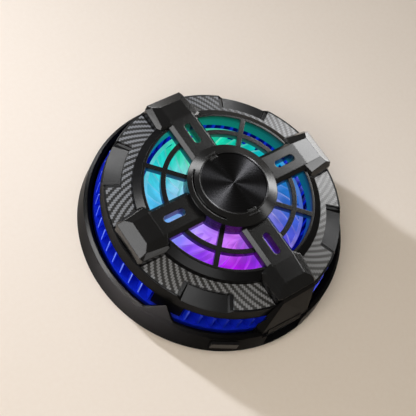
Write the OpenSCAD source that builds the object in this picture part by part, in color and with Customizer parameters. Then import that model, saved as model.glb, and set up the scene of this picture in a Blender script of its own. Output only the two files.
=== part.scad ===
// Phone cooling fan: a round thermoelectric cooler that clings to the back of a phone by magnets.
// The origin is the centre of the face that touches the phone, and +Z points away from the phone.
// Angles run from +X towards +Y. The four arms lie on the axes and the cable port faces about -Y.

/* [Base] */
// Radius of the base at its lower outer edge
base_r = 36; // [35:0.5:42]
// Lean of the base's outer wall, from the lower edge in to the lip
base_draft = 0.6; // [0.2:0.1:1]
// Thickness of the base wall at the lip
base_wall = 1.8; // [1.6:0.1:2.4]
// Height of the lower outer edge above the underside
edge_rise = 2.2; // [1.6:0.1:2.6]
// How far inside the outer edge the flat underside ends
foot_inset = 2.7; // [2.2:0.1:2.8]
// Height of the base lip above the heat sink plate
lip_h = 0.8; // [0.4:0.1:1.2]
// Bevel round the top of the base lip
lip_bevel = 0.8; // [0.4:0.1:1]
// How far the pad and the cold plate stand proud of the underside
pad_proud = 0.8; // [0.5:0.1:1]
// Thickness of the silicone contact pad
pad_t = 1.4; // [1.2:0.1:2]
// Thickness of the base skin between the pad and the magnets
skin_t = 0.5; // [0.4:0.1:1]

/* [Magnets] */
// Thickness of the holding magnets
magnet_t = 1.5; // [1:0.1:2]
// Radial width of the holding magnets
magnet_w = 4.6; // [4:0.1:5]
// Number of arc magnets in the ring
magnet_count = 16; // [12:2:20]
// Thickness of the steel ring behind the magnets
yoke_t = 0.5; // [0.4:0.1:1]

/* [Thermoelectric stack] */
// Wall of the base between the magnets and the cold plate
magnet_wall = 1.5; // [1.2:0.1:3]
// Thickness of the thermoelectric module
peltier_t = 3.2; // [3:0.1:4]
// Thickness of each ceramic plate of the module
ceramic_t = 0.7; // [0.5:0.1:0.9]
// Pellets along one side of the module
pellet_rows = 8; // [6:1:10]
// Thickness of the thermal pads
thermal_t = 0.3; // [0.2:0.1:0.5]
// Thickness of the foam frame round the module
foam_t = 1.5; // [1:0.1:2]
// Thickness of the cold plate's flange
flange_t = 1.5; // [1:0.1:2]

/* [Heat sink] */
// Thickness of the heat sink plate
sink_plate_t = 2; // [1.6:0.1:3]
// Number of swept fins
fin_count = 60; // [40:1:64]
// Thickness of a fin
fin_t = 0.6; // [0.4:0.1:0.8]
// Angle a fin sweeps from its inner to its outer end
fin_sweep = 10; // [0:1:16]
// Free height of the window between the heat sink plate and the cover
window_h = 5.3; // [4.5:0.1:7]

/* [Cover] */
// Height of the cover's outer wall
wall_h = 3.9; // [3.5:0.1:5]
// Thickness of the cover's outer wall
cover_wall = 1.8; // [1.4:0.1:2]
// Radial width of the deck, from the rim to the bezel
deck_w = 6.8; // [6:0.1:8]
// Rise of the deck from its outer to its inner edge
deck_rise = 1.4; // [1:0.1:2]
// Thickness of the deck under the inlays
deck_t = 1.2; // [1:0.1:1.5]
// Thickness of the woven inlays
inlay_t = 0.5; // [0.3:0.1:0.6]
// Radial width of the raised bezel
bezel_w = 2; // [1.5:0.1:2.5]
// Height of the bezel's outer wall above the deck
bezel_h = 1.5; // [1:0.1:2]
// Rise of the bezel from its outer to its inner edge
bezel_rise = 1.2; // [0.8:0.1:1.5]
// Thickness of the duct wall
duct_t = 1.2; // [1:0.1:1.4]
// Length of the scoops, from the rim inwards
scoop_len = 4.3; // [3.5:0.1:4.6]
// Half of the angle that a scoop spans
scoop_half = 13; // [9:0.5:15]
// Fall of a scoop's floor towards the rim
scoop_drop = 1.2; // [0.8:0.1:2]

/* [Grille and frame] */
// Depth of the grille bars
grille_t = 1.6; // [1.2:0.1:2]
// Width of the narrow grille bars
grille_bar = 1.3; // [1:0.1:1.8]
// How far the grille's round bar lies outside the middle between the hub and the duct
mid_ring_shift = 0.25; // [-0.5:0.05:1]
// Half width of an arm's flat top
arm_half_w = 3.4; // [2.8:0.1:3.8]
// Thickness of the arms
arm_t = 1.4; // [1.2:0.1:2]
// Bevel along the sides of the arms
arm_bevel = 1; // [0.6:0.1:1.1]
// Distance from the hub to the slot through an arm
slot_in = 2.75; // [2:0.05:3.5]
// Distance from the slot through an arm to the claw
slot_out = 1.25; // [0.8:0.05:2]
// Width of the slot through an arm
slot_w = 2; // [1.4:0.1:2.6]
// Half width of a claw at its inner end
claw_in_w = 6.8; // [6.3:0.1:7.2]
// Half width of a claw at its outer end
claw_out_w = 6; // [5.6:0.1:6.4]
// Radius of the pegs that hold the claws in the cover
peg_r = 1; // [0.8:0.1:1.3]

/* [Hub] */
// Radius of the hub
hub_r = 11.9; // [11.6:0.1:12.6]
// Height of the hub ring's outer wall above the arms
hub_wall_h = 1.2; // [0.8:0.1:2]
// Rise of the hub ring from its outer edge to the cap
cone_h = 1.4; // [1:0.1:2]
// Radius of the spun cap
cap_r = 8.9; // [8:0.1:9.2]
// Half of the angle of a notch in the cap
notch_half = 9; // [6:0.5:12]
// Depth of a notch in the cap
notch_d = 0.9; // [0.5:0.1:1.4]

/* [Fan] */
// Gap between the impeller's rim and the duct
tip_gap = 1; // [0.4:0.1:1.4]
// Number of impeller vanes
vane_count = 33; // [23:2:37]
// Thickness of a vane
vane_t = 0.5; // [0.4:0.1:0.7]
// Height of the vanes above the impeller's disc
vane_h = 4.2; // [3:0.1:5]
// Angle a vane sweeps from its inner to its outer end
vane_sweep = -26; // [-34:1:-14]
// Thickness of the impeller's disc
disc_t = 0.8; // [0.6:0.1:1.2]
// Radius of the motor shaft
shaft_r = 1; // [0.8:0.05:1.2]
// Radial running clearance of the shaft in its bearing
shaft_clear = 0.03; // [0.02:0.01:0.06]
// Radius of the stator
stator_r = 7.8; // [7:0.1:8]
// Height of the stator
stator_h = 4; // [3:0.1:4.5]
// Number of stator poles
pole_count = 6; // [4:2:9]

/* [Port and button] */
// Direction in which the cable port faces
port_az = 267; // [266:0.5:270]
// Width of the cable socket
socket_w = 8.94; // [8.5:0.02:9.2]
// Height of the cable socket
socket_h = 3.26; // [3.1:0.02:3.36]
// Length of the cable socket
socket_len = 7.3; // [6:0.1:8]
// Direction in which the power button faces
button_az = 239.3; // [238:0.1:241]
// Width of the power button
button_w = 7.2; // [5:0.1:8]
// Height of the power button
button_h = 2.4; // [1.8:0.1:2.6]
// Travel of the power button
button_travel = 0.4; // [0.2:0.05:0.5]

/* [Fits] */
// Gap between pieces that are seated together
seat_gap = 0.05; // [0.03:0.01:0.08]
// Gap between pieces that move past each other
run_gap = 0.3; // [0.2:0.05:0.35]

/* [Hidden] */
$fn = 144;

// Overshoot of a cut past the face it opens
over = 0.5;
// Directions of the arms, the scoops and the pillars that carry the cover
arm_angles = [0, 90, 180, 270];
scoop_angles = [45, 135, 225, 315];
pillar_angles = [90, 210, 330];

// Levels from the phone upwards
base_bottom = pad_proud;
edge_z = base_bottom + edge_rise;
magnet_z = pad_t + skin_t;
yoke_z = magnet_z + magnet_t;
floor_z = yoke_z + yoke_t;
flange_z = floor_z - flange_t;
peltier_z = floor_z + thermal_t;
hot_pad_z = peltier_z + peltier_t;
sink_z = hot_pad_z + thermal_t;
sink_top = sink_z + sink_plate_t;
lip_z = sink_top + lip_h;
cover_z = sink_top + window_h;
deck_edge_z = cover_z + wall_h;
deck_in_z = deck_edge_z + deck_rise;
bezel_z = deck_in_z + bezel_h;
grille_top = bezel_z + bezel_rise;
grille_z = grille_top - grille_t;
frame_top = grille_top + arm_t;
cone_z = frame_top + hub_wall_h;
cap_top = cone_z + cone_h;

// Radii of the base and the cover, from the outside inwards
lip_r = base_r - base_draft;
base_in_r = lip_r - base_wall;
foot_r = base_r - foot_inset;
sink_gap = 0.8;
sink_r = base_in_r - sink_gap;
fin_inset = 0.5;
fin_out_r = sink_r - fin_inset;
cover_inset = 0.7;
cover_r = sink_r - cover_inset;
cover_draft = 0.3;
cover_top_r = cover_r - cover_draft;
cover_in_r = cover_r - cover_wall;
rim_w = 0.5;
inlay_out_r = cover_top_r - rim_w;
bezel_r = cover_top_r - deck_w;
bezel_in_r = bezel_r - bezel_w;
grille_lap = 0.6;
duct_r = bezel_in_r - grille_lap;
duct_out_r = duct_r + duct_t;
grille_r = bezel_in_r - seat_gap;
fin_in_r = duct_out_r + run_gap;

// Screws that clamp the base, the heat sink and the cover
screw_r = 0.8;
screw_clear = 0.1;
screw_head_r = 1.5;
screw_head_h = 1.1;
screw_sink = 0.3;
screw_pocket_r = screw_head_r + 0.2;
screw_seat_z = base_bottom + screw_sink + screw_head_h;
leg_edge = 1.5;
screw_pos = cover_r - leg_edge;
boss_r = screw_r + 1.8;
leg_depth = 2.8;
leg_in_r = cover_r - leg_depth;
leg_out_r = cover_r - 0.2;
leg_angle = 7.5;
leg_clear_angle = leg_angle + 1.2;
screw_bite = 3.4;
screw_len = sink_top - screw_seat_z + screw_bite;

// Radii of the pad and the magnets
pad_edge = 0.4;
pad_out_r = screw_pos - screw_pocket_r - pad_edge;
magnet_cover = 0.6;
magnet_out_r = pad_out_r - magnet_cover;
magnet_in_r = magnet_out_r - magnet_w;
pad_lap = 1.2;
pad_in_r = magnet_in_r - pad_lap;
magnet_space = 0.4;

// Cold plate and thermoelectric module
flange_edge = 0.6;
flange_r = magnet_in_r - magnet_wall;
peltier_half = (flange_r - flange_edge) / sqrt(2);
peltier_side = 2 * peltier_half;
flange_lap = 2;
cold_r = flange_r - flange_lap;
pellet_share = 0.55;
lead_r = 0.5;
lead_x = 2.5;
lead_z = peltier_z + ceramic_t + lead_r;
foam_half = peltier_half + foam_t;

// Fan, from the heat sink plate upwards
board_t = 0.8;
led_h = 0.9;
led_side = 2;
led_count = 12;
guide_gap = 0.4;
guide_t = 0.6;
guide_foot_r = 0.6;
disc_gap = 1;
led_z = sink_top + board_t;
guide_z = led_z + led_h + guide_gap;
disc_z = guide_z + guide_t + disc_gap;
vane_z = disc_z + disc_t;
vane_top = vane_z + vane_h;
duct_gap = 0.4;
duct_lip = 0.3;
duct_z = min(vane_top + duct_gap, under_z(duct_out_r) - duct_lip);
impeller_r = duct_r - tip_gap;
led_edge = 1.6;
led_board_r = duct_r - led_edge;
guide_edge = 0.4;
guide_out_r = led_board_r - guide_edge;
hub_gap = 0.8;
hub_top = grille_z - hub_gap;
hub_shell_t = 0.9;
cup_t = 0.7;
cup_top = hub_top - hub_shell_t;
magnet_gap = 0.6;
rotor_magnet_r = stator_r + magnet_gap;
rotor_magnet_t = 1.2;
cup_in_r = rotor_magnet_r + rotor_magnet_t + seat_gap;
cup_r = cup_in_r + cup_t;
rotor_hub_r = cup_r + seat_gap + hub_shell_t;
vane_root = 1;
tip_ring_w = 0.9;
tip_ring_h = 0.8;
vane_in_r = rotor_hub_r + vane_root;
guide_space = 0.6;
guide_in_r = rotor_hub_r + guide_space;
led_r = (guide_in_r + guide_out_r) / 2;
motor_flange_t = 1.2;
motor_flange_r = 8.6;
motor_flange_z = sink_top + motor_flange_t;
cup_z = motor_flange_z + 0.6;
stator_z = motor_flange_z + 1.4;
bearing_r = shaft_r + shaft_clear;
bearing_t = 1;
tube_in_r = bearing_r + bearing_t + seat_gap;
tube_t = 0.7;
tube_r = tube_in_r + tube_t;
tube_top = cup_top - cup_t - 0.6;
shaft_z = sink_top + 0.4;
motor_screw_r = 0.5;
motor_screw_pos = 7;
motor_screw_head_r = 0.9;
motor_screw_head_h = 0.5;
motor_screw_len = 2.4;
motor_screw_z = motor_flange_z - motor_screw_len;
led_board_in_r = motor_flange_r + 0.6;
stator_core_r = tube_r + seat_gap + 1;
tooth_w = 1.8;
shoe_t = 0.8;
shoe_half = 140 / pole_count;
coil_t = 0.5;
coil_in_r = stator_core_r + 0.2;
coil_out_r = stator_r - shoe_t - 0.2;
coil_lap = 0.7;

// Fins: the inner stretch rises under the deck, the outer one stays under the cover's wall
fin_top = cover_z - 0.1;
fin_step_r = cover_in_r - run_gap;
fin_crown_z = deck_edge_z - inlay_t - deck_t - run_gap;
fin_steps = 4;

// Control board, cable socket and switch, hung from the heat sink's level
socket_top = sink_z - 0.2;
socket_z = socket_top - socket_h;
socket_mid_z = socket_z + socket_h / 2;
board_drop = 1.2;
board_top = socket_z + board_drop;
board_z = board_top - board_t;
board_space = 0.6;
board_in_r = foam_half * sqrt(2) + board_space;
board_edge = 1;
board_out_r = base_in_r - board_edge;
board_angle = 47;
board_tab_half = 4;
board_tab_gap = 3.4;
board_tab_in = foam_half + board_tab_gap;
port_web = 0.6;
socket_front = base_in_r + port_web;
socket_back = socket_front - socket_len;
socket_wall = 0.3;
socket_clear = 0.15;
tongue_w = 6.2;
tongue_t = 0.7;
tongue_inset = 1;
board_screw_edge = 2.4;
board_screw_pos = board_out_r - board_screw_edge;
board_screw_angle = 43;
board_screw_r = 0.6;
board_screw_head_r = 1.1;
board_screw_head_h = 0.6;
board_screw_len = 1.6;
post_r = 1.5;
link_pin = 0.5;
link_pitch = 1.27;
link_count = 4;
link_edge = 1.2;
link_pos = board_tab_in + link_edge;
link_slot_w = 1.6;
link_slot_end = 0.6;
link_slot_len = link_count * link_pitch + 2 * link_slot_end;
link_tab_w = link_slot_len + 2 * link_pin;

// Power button and its switch
button_z = board_top + 0.3 + button_h / 2;
button_face = base_r + 0.2;
button_lap = 0.6;
button_flange_t = 0.6;
button_clear = 0.15;
button_step_r = base_in_r + 1.3;
button_flange_out = button_step_r - seat_gap;
button_flange_in = button_flange_out - button_flange_t;
stem_half_w = 1.2;
stem_h = 1.2;
stem_z = board_top + 0.9;
stem_tip = base_in_r - 1.3;
switch_plunger_tip = stem_tip - button_travel - 0.1;
switch_front = switch_plunger_tip - 0.5;
switch_depth = 2.2;
switch_w = 4.6;
switch_h = 1.9;
plunger_r = 0.55;
notch_lip_w = button_w + 2.4;
notch_lip_d = lip_bevel + 0.3;

// Scoops: a conical floor that starts under the inlay and falls towards the rim, with sloping ends
scoop_in_r = cover_top_r - scoop_len;
scoop_sill = 0.25;
scoop_flare = 2.1;
scoop_floor_half = scoop_half - scoop_flare;
scoop_end_w = 3.6;
scoop_end_h = 3;

// Claws: corner radii, half widths and falls below the arms' top
arm_root = 3;
claw_lap = 0.8;
ridge_inset = 3.7;
shoulder_inset = 2.45;
shoulder_run = 1.2;
claw_inset = 0.7;
claw_in_r = bezel_in_r - claw_lap;
ridge_out_r = cover_top_r - ridge_inset;
shoulder_r = cover_top_r - shoulder_inset;
claw_out_r = cover_top_r - claw_inset;
ridge_out_w = arm_half_w - 0.2;
shoulder_in_w = claw_in_w - 1;
shoulder_out_w = claw_out_w - 1.05;
claw_face_w = claw_out_w - 0.8;
ridge_fall = 0.35;
shoulder_in_fall = 1.1;
shoulder_out_fall = 1.18;
face_fall = 2.3;
wall_in_fall = 2.4;
wall_out_fall = 2.9;
peg_inset = 3.6;
peg_pos = cover_top_r - peg_inset;
peg_z = fin_crown_z + run_gap;

// Slots through the arms and the round bar of the grille
slot_len = claw_in_r - slot_out - hub_r - slot_in;
slot_r = hub_r + slot_in + slot_len / 2;
mid_ring_r = (hub_r + duct_r) / 2 + mid_ring_shift;

// Port housing and its visor
housing_half = 8.4;
housing_foot_z = socket_top + 0.9;
housing_back_gap = 0.2;
housing_lap = 1;
housing_back_r = sink_r + housing_back_gap;
housing_in_r = housing_back_r - housing_lap;
housing_corner = housing_half - 1.2;
visor_half = 5.4;
visor_h = 2;
visor_depth = 1.2;
visor_back = base_in_r - 0.1;
visor_front = visor_back + visor_depth;
visor_lean = 0.5;
housing_front = visor_front - visor_lean;
pocket_half = 5.6;
pocket_foot = 0.5;

// Height of the deck's finished surface at a radius
function deck_z(r) = deck_edge_z + deck_rise * (cover_top_r - r) / (cover_top_r - bezel_r);
// Height of the underside of the deck at a radius
function under_z(r) = deck_z(r) - inlay_t - deck_t;
// Height of a scoop's floor at a radius
function scoop_z(r) = deck_z(scoop_in_r) - inlay_t - scoop_sill
    - scoop_drop * (r - scoop_in_r) / scoop_len;
// A point given by radius, angle and height
function polar(r, a, z) = [r * cos(a), r * sin(a), z];
// One edge of a swept blade, as points from its inner to its outer end
function blade_edge(r_in, r_out, sweep, side, steps) = [
    for (k = [0 : steps])
        let (r = r_in + (r_out - r_in) * k / steps)
        let (a = sweep * k / steps + side / r * 180 / PI)
        [r * cos(a), r * sin(a)]
];
// A list in reverse order
function reversed(list) = [for (i = [len(list) - 1 : -1 : 0]) list[i]];

// Flat ring between two radii and two levels
module ring(r_in, r_out, z_low, z_high) {
    translate([0, 0, z_low])
        difference() {
            cylinder(h = z_high - z_low, r = r_out);
            translate([0, 0, -over])
                cylinder(h = z_high - z_low + 2 * over, r = r_in);
        }
}

// Part of a flat ring, spread evenly to both sides of +X
module ring_sector(r_in, r_out, half, z_low, z_high) {
    translate([0, 0, z_low])
        rotate([0, 0, -half])
            rotate_extrude(angle = 2 * half)
                translate([r_in, 0])
                    square([r_out - r_in, z_high - z_low]);
}

// Round bar from one level up to another
module post(r, z_low, z_high) {
    translate([0, 0, z_low])
        cylinder(h = z_high - z_low, r = r);
}

// Box that is centred across +X and reaches from one radius to another
module radial_box(r_in, r_out, half_w, z_low, z_high) {
    translate([r_in, -half_w, z_low])
        cube([r_out - r_in, 2 * half_w, z_high - z_low]);
}

// Solid with flat faces round a set of corner points
module faceted_solid(points) {
    hull()
        polyhedron(points = points, faces = [[for (i = [0 : len(points) - 1]) i]]);
}

// Outline with straight sides and round ends, centred on the origin
module stadium(w, h) {
    square([w - h, h], center = true);
    for (side = [-1, 1])
        translate([side * (w - h) / 2, 0])
            circle(d = h);
}

// Bar of stadium section that points along +X, centred on a level
module radial_stadium(r_in, r_out, w, h, z_mid) {
    translate([r_in, 0, z_mid])
        rotate([90, 0, 90])
            linear_extrude(height = r_out - r_in)
                stadium(w, h);
}

// Curved blade outline that stands at +X
module blade(r_in, r_out, sweep, t, steps) {
    polygon(concat(
        blade_edge(r_in, r_out, sweep, -t / 2, steps),
        reversed(blade_edge(r_in, r_out, sweep, t / 2, steps))
    ));
}

module at_port() {
    rotate([0, 0, port_az])
        children();
}

module at_button() {
    rotate([0, 0, button_az])
        children();
}

// Body of everything under the finished surface of the cover, the grille included
module cover_envelope() {
    rotate_extrude()
        polygon([
            [0, 0], [cover_r, 0], [cover_r, cover_z], [cover_top_r, deck_edge_z],
            [inlay_out_r, deck_z(inlay_out_r)], [inlay_out_r, deck_z(inlay_out_r) - inlay_t],
            [bezel_r, deck_z(bezel_r) - inlay_t], [bezel_r, bezel_z],
            [bezel_in_r, grille_top], [0, grille_top]
        ]);
}

// Outline of a claw seen from above, grown by a gap
module claw_plan(gap) {
    polygon([
        [claw_in_r - over, -claw_in_w - gap], [cover_r + over, -claw_out_w - gap],
        [cover_r + over, claw_out_w + gap], [claw_in_r - over, claw_in_w + gap]
    ]);
}

module contact_pad() {
    color("#2b2b2d")
        ring(pad_in_r, pad_out_r, 0, pad_t);
}

module cold_plate() {
    color("#b9bcc0") {
        post(cold_r, 0, flange_z + over);
        post(flange_r, flange_z, floor_z);
    }
}

// Sloping buttress that ties the base wall to the cover's leg behind it
module gusset() {
    left = -9.4;
    right = 8.3;
    foot_z = edge_z + 1;
    inner = base_in_r + 0.9;
    faceted_solid([
        polar(inner, left, foot_z), polar(inner, right, foot_z),
        polar(lip_r - 0.2, left, foot_z), polar(lip_r - 0.2, right, foot_z),
        polar(inner, left, lip_z - 0.9), polar(lip_r, left, lip_z - 0.1),
        polar(inner, right, lip_z - 2.2), polar(lip_r - 0.2, right, lip_z - 2.4),
        polar(base_in_r - 0.1, 0, cover_z), polar(sink_r + 0.2, 0, cover_z)
    ]);
}

module base_profile() {
    polygon([
        [cold_r + seat_gap, base_bottom], [foot_r, base_bottom], [base_r, edge_z],
        [lip_r, lip_z - lip_bevel], [lip_r - lip_bevel, lip_z], [lip_r - lip_bevel - 0.2, lip_z],
        [base_in_r, lip_z - lip_bevel], [base_in_r, floor_z],
        [flange_r + seat_gap, floor_z], [flange_r + seat_gap, flange_z], [cold_r + seat_gap, flange_z]
    ]);
}

// Outline of the gap in the base wall that the port housing stands in, open to the front
module housing_seat() {
    half = housing_half + seat_gap;
    corner = housing_corner + seat_gap;
    front = housing_front + seat_gap;
    polygon([
        [housing_in_r - over, -half], [base_in_r, -half], [front, -corner], [base_r + over, -corner],
        [base_r + over, corner], [front, corner], [base_in_r, half], [housing_in_r - over, half]
    ]);
}

// Room for the socket, the plug's pocket and the foot of the port housing
module port_cuts() {
    radial_stadium(base_in_r - over, base_r + over, socket_w + 2 * socket_clear,
        socket_h + 2 * socket_clear, socket_mid_z);
    radial_box(socket_front, base_r + over, pocket_half, socket_z - pocket_foot, housing_foot_z + over);
    translate([0, 0, housing_foot_z])
        linear_extrude(height = lip_z + over - housing_foot_z)
            housing_seat();
}

// Stepped opening for the power button and the notch in the lip above it
module button_cuts() {
    low = button_z - button_h / 2 - button_clear;
    high = button_z + button_h / 2 + button_clear;
    half = button_w / 2 + button_clear;
    radial_box(base_in_r - over, base_r + over, half, low, high);
    radial_box(base_in_r - over, button_step_r, half + button_lap, low - button_lap, high + button_lap);
    radial_box(lip_r - lip_bevel / 2, base_r + over, notch_lip_w / 2, lip_z - notch_lip_d, lip_z + over);
}

module base_shell() {
    color("#232324")
        difference() {
            union() {
                rotate_extrude()
                    base_profile();
                for (a = pillar_angles)
                    rotate([0, 0, a])
                        translate([screw_pos, 0, 0])
                            post(boss_r, base_bottom, sink_z);
                for (a = [pillar_angles[0], pillar_angles[1]])
                    rotate([0, 0, a])
                        gusset();
                rotate([0, 0, pillar_angles[2]])
                    mirror([0, 1, 0])
                        gusset();
                for (side = [-1, 1])
                    rotate([0, 0, port_az + side * board_screw_angle])
                        translate([board_screw_pos, 0, 0])
                            post(post_r, base_bottom + over, board_z);
            }
            ring(pad_in_r - seat_gap, pad_out_r + seat_gap, base_bottom - over, pad_t);
            ring(magnet_in_r - seat_gap, magnet_out_r + seat_gap, magnet_z, floor_z + over);
            for (a = pillar_angles)
                rotate([0, 0, a])
                    translate([screw_pos, 0, 0]) {
                        post(screw_r + screw_clear, base_bottom - over, sink_z + over);
                        post(screw_pocket_r, base_bottom - over, screw_seat_z);
                    }
            for (side = [-1, 1])
                rotate([0, 0, port_az + side * board_screw_angle])
                    translate([board_screw_pos, 0, 0])
                        post(board_screw_r + seat_gap, board_top - board_screw_len - 0.1, board_z + over);
            at_port()
                port_cuts();
            at_button()
                button_cuts();
        }
}

// Ring of arc magnets with a small space between neighbours
module magnets() {
    pitch = 360 / magnet_count;
    half = pitch / 2 - magnet_space / magnet_in_r * 90 / PI;
    color("#8d9096")
        for (i = [0 : magnet_count - 1])
            rotate([0, 0, i * pitch])
                ring_sector(magnet_in_r, magnet_out_r, half, magnet_z, yoke_z);
}

module magnet_yoke() {
    color("#70747a")
        ring(magnet_in_r, magnet_out_r, yoke_z, floor_z);
}

// Square plate between two levels, turned to face the port
module port_square(half, z_low, z_high) {
    at_port()
        translate([-half, -half, z_low])
            cube([2 * half, 2 * half, z_high - z_low]);
}

module thermal_pad_cold() {
    color("#c9cdd6")
        port_square(peltier_half, floor_z, peltier_z);
}

module thermal_pad_hot() {
    color("#c9cdd6")
        port_square(peltier_half, hot_pad_z, sink_z);
}

// Two ceramic plates with rows of pellets between them
module peltier() {
    pitch = peltier_side / pellet_rows;
    pellet = pitch * pellet_share;
    color("#f0efe9") {
        port_square(peltier_half, peltier_z, peltier_z + ceramic_t);
        port_square(peltier_half, hot_pad_z - ceramic_t, hot_pad_z);
        at_port()
            translate([0, 0, peltier_z + ceramic_t])
                linear_extrude(height = peltier_t - 2 * ceramic_t)
                    for (i = [0 : pellet_rows - 1], j = [0 : pellet_rows - 1])
                        translate([(i + 0.5) * pitch - peltier_half, (j + 0.5) * pitch - peltier_half])
                            square(pellet, center = true);
    }
}

// Two straight wires from the module to the control board
module lead_rods(r, reach_in, reach_out) {
    for (side = [-1, 1])
        translate([reach_in, side * lead_x, lead_z])
            rotate([0, 90, 0])
                cylinder(h = reach_out - reach_in, r = r);
}

module peltier_leads() {
    color("#b32020")
        at_port()
            lead_rods(lead_r, peltier_half, board_tab_in);
}

module foam_frame() {
    color("#4a4a4c")
        difference() {
            port_square(foam_half, floor_z, sink_z);
            port_square(peltier_half + seat_gap, floor_z - over, sink_z + over);
            at_port()
                lead_rods(lead_r + seat_gap, peltier_half - over, foam_half + over);
        }
}

module control_board() {
    color("#14532d")
        difference() {
            union() {
                at_port()
                    ring_sector(board_in_r, board_out_r, board_angle, board_z, board_top);
                at_port()
                    radial_box(board_tab_in, board_in_r + over, board_tab_half, board_z, board_top);
            }
            at_port()
                radial_box(socket_back - socket_clear, base_r, socket_w / 2 + socket_clear,
                    board_z - over, board_top + over);
            for (side = [-1, 1])
                rotate([0, 0, port_az + side * board_screw_angle])
                    translate([board_screw_pos, 0, 0])
                        post(board_screw_r + screw_clear, board_z - over, board_top + over);
        }
}

// Drawn metal shell with a closed back
module usb_socket() {
    color("#c4c7cb")
        at_port()
            difference() {
                radial_stadium(socket_back, socket_front, socket_w, socket_h, socket_mid_z);
                radial_stadium(socket_back + socket_wall, socket_front + over,
                    socket_w - 2 * socket_wall, socket_h - 2 * socket_wall, socket_mid_z);
            }
}

module usb_tongue() {
    color("#1b1b1d")
        at_port()
            radial_box(socket_back + socket_wall, socket_front - tongue_inset, tongue_w / 2,
                socket_mid_z - tongue_t / 2, socket_mid_z + tongue_t / 2);
}

module tact_switch() {
    color("#c9c9c4")
        at_button() {
            radial_box(switch_front - switch_depth, switch_front, switch_w / 2,
                board_top, board_top + switch_h);
            translate([switch_front - over, 0, stem_z + stem_h / 2 - plunger_r + 0.1])
                rotate([0, 90, 0])
                    cylinder(h = switch_plunger_tip - switch_front + over, r = plunger_r);
        }
}

// Row of pins that joins the control board to the light board through the heat sink
module board_link() {
    color("#c8a24a")
        at_port()
            for (i = [0 : link_count - 1])
                translate([link_pos, (i - (link_count - 1) / 2) * link_pitch, 0])
                    translate([-link_pin / 2, -link_pin / 2, board_top])
                        cube([link_pin, link_pin, sink_top - board_top]);
}

module board_screws() {
    color("#9a9da2")
        for (side = [-1, 1])
            rotate([0, 0, port_az + side * board_screw_angle])
                translate([board_screw_pos, 0, 0]) {
                    post(board_screw_r, board_top - board_screw_len, board_top + board_screw_head_h);
                    post(board_screw_head_r, board_top, board_top + board_screw_head_h);
                }
}

// All the fins in plan, with room left for the cover's legs
module fin_plan() {
    cut_in = leg_in_r - run_gap;
    difference() {
        for (i = [0 : fin_count - 1])
            rotate(i * 360 / fin_count)
                blade(fin_in_r, fin_out_r, fin_sweep, fin_t, fin_steps);
        for (a = pillar_angles)
            rotate(a)
                polygon([
                    [cut_in * cos(leg_clear_angle), -cut_in * sin(leg_clear_angle)],
                    [sink_r + over, -(sink_r + over) * tan(leg_clear_angle)],
                    [sink_r + over, (sink_r + over) * tan(leg_clear_angle)],
                    [cut_in * cos(leg_clear_angle), cut_in * sin(leg_clear_angle)]
                ]);
    }
}

module heat_sink() {
    color("#1028c8")
        difference() {
            union() {
                post(sink_r, sink_z, sink_top);
                translate([0, 0, sink_top - seat_gap])
                    linear_extrude(height = fin_top - sink_top + seat_gap)
                        fin_plan();
                translate([0, 0, fin_top - seat_gap])
                    linear_extrude(height = fin_crown_z - fin_top + seat_gap)
                        intersection() {
                            fin_plan();
                            circle(r = fin_step_r);
                        }
            }
            for (a = pillar_angles)
                rotate([0, 0, a])
                    translate([screw_pos, 0, 0])
                        post(screw_r + screw_clear, sink_z - over, sink_top + over);
            for (a = pillar_angles)
                rotate([0, 0, a])
                    translate([motor_screw_pos, 0, 0])
                        post(motor_screw_r + seat_gap, motor_screw_z - 0.1, sink_top + over);
            at_port()
                radial_box(link_pos - link_slot_w / 2, link_pos + link_slot_w / 2, link_slot_len / 2,
                    sink_z - over, sink_top + over);
        }
}

module led_board() {
    color("#e6e6e2")
        difference() {
            union() {
                post(led_board_r, sink_top, led_z);
                at_port()
                    radial_box(led_board_r - 1, link_pos + link_slot_w / 2 + 0.3, link_tab_w / 2,
                        sink_top, led_z);
            }
            post(led_board_in_r, sink_top - over, led_z + over);
        }
}

module leds() {
    color("#fdf6d8")
        for (i = [0 : led_count - 1])
            rotate([0, 0, i * 360 / led_count])
                radial_box(led_r - led_side / 2, led_r + led_side / 2, led_side / 2, led_z, led_z + led_h);
}

// Diffuser ring on three feet that stand between the lamps
module light_guide() {
    color("#dff4ff") {
        ring(guide_in_r, guide_out_r, guide_z, guide_z + guide_t);
        for (a = pillar_angles)
            rotate([0, 0, a + 180 / led_count])
                translate([led_r, 0, 0])
                    post(guide_foot_r, led_z, guide_z + guide_t / 2);
    }
}

// Motor flange with the tube that holds the bearing
module motor_base() {
    color("#303032")
        difference() {
            union() {
                post(motor_flange_r, sink_top, motor_flange_z);
                post(tube_r, sink_top, tube_top);
            }
            post(tube_in_r, sink_top + 0.3, tube_top + over);
            for (a = pillar_angles)
                rotate([0, 0, a])
                    translate([motor_screw_pos, 0, 0])
                        post(motor_screw_r + screw_clear, sink_top - over, motor_flange_z + over);
        }
}

module motor_screws() {
    color("#9a9da2")
        for (a = pillar_angles)
            rotate([0, 0, a])
                translate([motor_screw_pos, 0, 0]) {
                    post(motor_screw_r, motor_screw_z, motor_flange_z + motor_screw_head_h);
                    post(motor_screw_head_r, motor_flange_z, motor_flange_z + motor_screw_head_h);
                }
}

module bearing() {
    color("#a9803f")
        ring(bearing_r, tube_in_r - seat_gap, sink_top + 0.3, tube_top - 0.4);
}

// Laminated core with one tooth and shoe for each pole
module stator() {
    color("#6f7378") {
        ring(tube_r + seat_gap, stator_core_r, stator_z, stator_z + stator_h);
        for (i = [0 : pole_count - 1])
            rotate([0, 0, i * 360 / pole_count]) {
                radial_box(stator_core_r - 0.4, stator_r - shoe_t / 2, tooth_w / 2,
                    stator_z, stator_z + stator_h);
                ring_sector(stator_r - shoe_t, stator_r, shoe_half, stator_z, stator_z + stator_h);
            }
    }
}

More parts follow.
